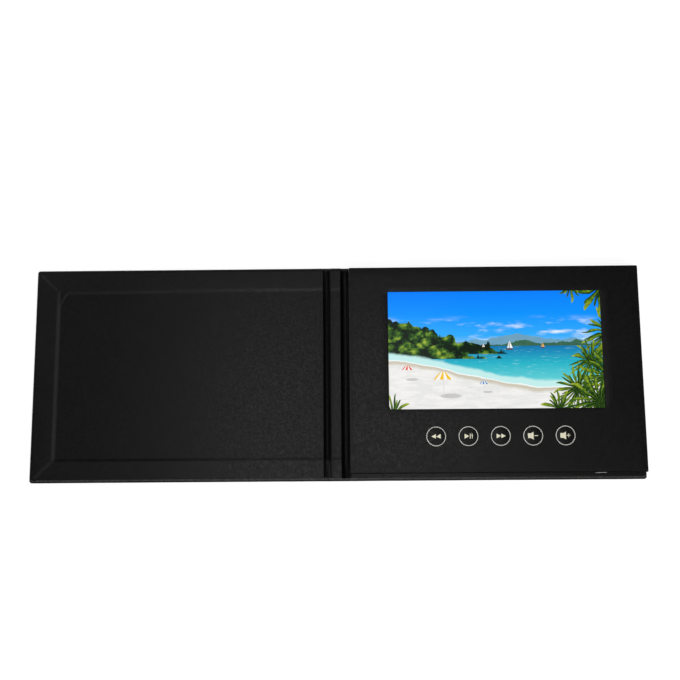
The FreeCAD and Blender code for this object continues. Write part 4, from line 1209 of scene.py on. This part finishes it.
class BROCHURE_OT_keys(bpy.types.Operator):
    """Model the five keys and print their marks"""
    bl_idname = "brochure.keys"
    bl_label = "Keys"

    def execute(self, context):
        colours = context.scene.brochure_finish
        cap_finish = leatherette("key_leatherette")
        foil = printed("sign_foil", tuple(colours.foil))
        ring_ink = printed("ring_foil", tuple(colours.ring))
        cap, ring = key_cap(), printed_ring(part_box("play_key")[1].z, ring_ink)
        for node, outlines in SIGNS.items():
            place, body = middle_of(node), node.replace("_key", "_button")
            key = copied(cap, node.replace("_key", "_cap"), place.x, place.y)
            dress(key, cap_finish, body, node)
            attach(key_marks(node.replace("_key", "_marks"), ring, outlines, place, foil), body)
        for pattern in (cap, ring):
            bpy.data.objects.remove(pattern)
        return {"FINISHED"}


class BROCHURE_OT_screen(bpy.types.Operator):
    """Light the screen with its picture"""
    bl_idname = "brochure.screen"
    bl_label = "Screen"

    def execute(self, context):
        brightness = context.scene.brochure_finish.brightness
        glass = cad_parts["screen_glass"]
        glass.data.materials.clear()
        glass.data.materials.append(Picture("lit_picture").glass(brightness))
        return {"FINISHED"}


class BROCHURE_OT_inner_parts(bpy.types.Operator):
    """Give every piece inside the case its finish"""
    bl_idname = "brochure.inner_parts"
    bl_label = "Inner Parts"

    def execute(self, context):
        finishes = {}
        for slot, (first, second, size, roughness, metallic, depth) in INNER_FINISHES.items():
            finishes[slot] = simple_finish(slot, first, second, [s * MM for s in size], roughness, metallic,
                                           depth * MM)
        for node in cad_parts.values():
            for place in node.material_slots:
                slot = place.material.name.split(".")[0]
                if slot in finishes:
                    place.material = finishes[slot]
        return {"FINISHED"}


class BROCHURE_OT_stage(bpy.types.Operator):
    """Lay the floor and set the lamps and the camera"""
    bl_idname = "brochure.stage"
    bl_label = "Stage"

    def execute(self, context):
        stage = context.scene.brochure_stage
        studio_floor()
        studio_lamp("overhead_lamp", (0.03, -0.035, 0.98), (0.02, -0.015, 0.0), (0.30, 0.50),
                    stage.overhead_power)
        studio_lamp("key_lamp", (0.75, -0.95, 0.95), (0.05, 0.0, 0.0), (0.9, 0.7), stage.key_power)
        studio_lamp("fill_lamp", (-1.0, 0.7, 0.8), (-0.05, 0.0, 0.0), (0.9, 0.7), stage.fill_power)
        world = bpy.data.worlds.new("room")
        world.use_nodes = True
        world.node_tree.nodes["Background"].inputs["Color"].default_value = (1.0, 1.0, 1.0, 1.0)
        world.node_tree.nodes["Background"].inputs["Strength"].default_value = stage.sky
        context.scene.world = world
        context.scene.view_settings.view_transform = "Standard"
        camera = bpy.data.objects.new("camera", bpy.data.cameras.new("camera"))
        context.scene.collection.objects.link(camera)
        camera.data.lens = stage.lens
        camera.data.clip_start = 0.01
        camera.location = stage.camera_place
        sight = Vector(stage.camera_target) - Vector(stage.camera_place)
        camera.rotation_euler = aimed(sight, stage.camera_roll)
        context.scene.camera = camera
        return {"FINISHED"}


def aimed(sight, roll):
    """The turn that points a camera or lamp along a line of sight, its top towards the head of the case."""
    back = -sight.normalized()
    right = Vector((0.0, 1.0, 0.0)).cross(back).normalized()
    up = back.cross(right)
    turn = Matrix((right, up, back)).transposed()
    return (turn @ Matrix.Rotation(-roll, 3, "Z")).to_euler()


def studio_lamp(name, place, target, size, power):
    """A soft rectangular lamp."""
    data = bpy.data.lights.new(name, "AREA")
    data.shape = "RECTANGLE"
    data.size, data.size_y = size
    data.energy = power
    lamp = bpy.data.objects.new(name, data)
    bpy.context.scene.collection.objects.link(lamp)
    lamp.location = place
    lamp.rotation_euler = aimed(Vector(target) - Vector(place), 0.0)


def studio_floor():
    """A pale floor that curves up into a round wall, white to the eye and still with the object's shadow."""
    floor = disc("floor", 96, 2.6, 0.0)
    with editing(floor, "EDGE"):
        pick(floor, "edges", lambda edge: edge.is_boundary)
        for out, rise in ((1.05, 0.03), (1.04, 0.09), (1.02, 0.18), (1.0, 1.1)):
            bpy.ops.mesh.extrude_edges_move(TRANSFORM_OT_translate={"value": (0, 0, rise)})
            bpy.ops.transform.resize(value=(out, out, 1.0), center_override=(0, 0, 0))
    smooth(floor, 60.0)
    finish = Finish("white_floor")
    tree = finish.tree
    paper = finish.noise(finish.place, 60.0, 2.0)
    shade = finish.mix(paper, (0.34, 0.34, 0.34), (0.36, 0.36, 0.36))
    pale = finish.add("ShaderNodeBsdfDiffuse", {"Color": (0.8, 0.8, 0.8)}).outputs[0]
    grey = finish.add("ShaderNodeBsdfDiffuse", {"Color": shade}).outputs[0]
    away = finish.amount("Value", "ShaderNodeVectorMath", {0: finish.place}, operation="LENGTH")
    light = finish.fade(away, 0.6, 2.0) * 0.22 + 0.78
    glow = finish.add("ShaderNodeEmission", {"Color": (1.0, 1.0, 1.0), "Strength": light}).outputs[0]
    shown = finish.add("ShaderNodeAddShader", {0: grey, 1: glow}).outputs[0]
    ray = finish.add("ShaderNodeLightPath").outputs
    seen = finish.most(ray["Is Camera Ray"], ray["Is Glossy Ray"], ray["Is Transmission Ray"])
    mixed = finish.add("ShaderNodeMixShader", {0: seen, 1: pale, 2: shown}).outputs[0]
    tree.links.new(mixed, tree.nodes["Material Output"].inputs["Surface"])
    tree.nodes.remove(finish.shader)
    floor.data.materials.append(finish.material)


class BROCHURE_PT_panel(bpy.types.Panel):
    """Lists the steps that build the brochure and its settings"""
    bl_idname = "BROCHURE_PT_panel"
    bl_label = "Video Brochure"
    bl_space_type = "VIEW_3D"
    bl_region_type = "UI"
    bl_category = "Brochure"

    def draw(self, context):
        for operator in OPERATORS:
            self.layout.operator(operator.bl_idname)
        for key, group in SETTINGS.items():
            box = self.layout.box()
            for name in group.__annotations__:
                box.prop(getattr(context.scene, key), name)


OPERATORS = (BROCHURE_OT_case, BROCHURE_OT_box, BROCHURE_OT_keys, BROCHURE_OT_screen, BROCHURE_OT_inner_parts,
             BROCHURE_OT_stage)
CLASSES = (*SETTINGS.values(), *OPERATORS, BROCHURE_PT_panel)


def register():
    for item in CLASSES:
        bpy.utils.register_class(item)
    for key, group in SETTINGS.items():
        setattr(bpy.types.Scene, key, PointerProperty(type=group))


def unregister():
    for key in SETTINGS:
        delattr(bpy.types.Scene, key)
    for item in reversed(CLASSES):
        bpy.utils.unregister_class(item)


def main():
    """Builds everything in order."""
    register()
    bpy.ops.brochure.case()
    bpy.ops.brochure.box()
    bpy.ops.brochure.keys()
    bpy.ops.brochure.screen()
    bpy.ops.brochure.inner_parts()
    bpy.ops.brochure.stage()


if __name__ == "__main__":
    main()
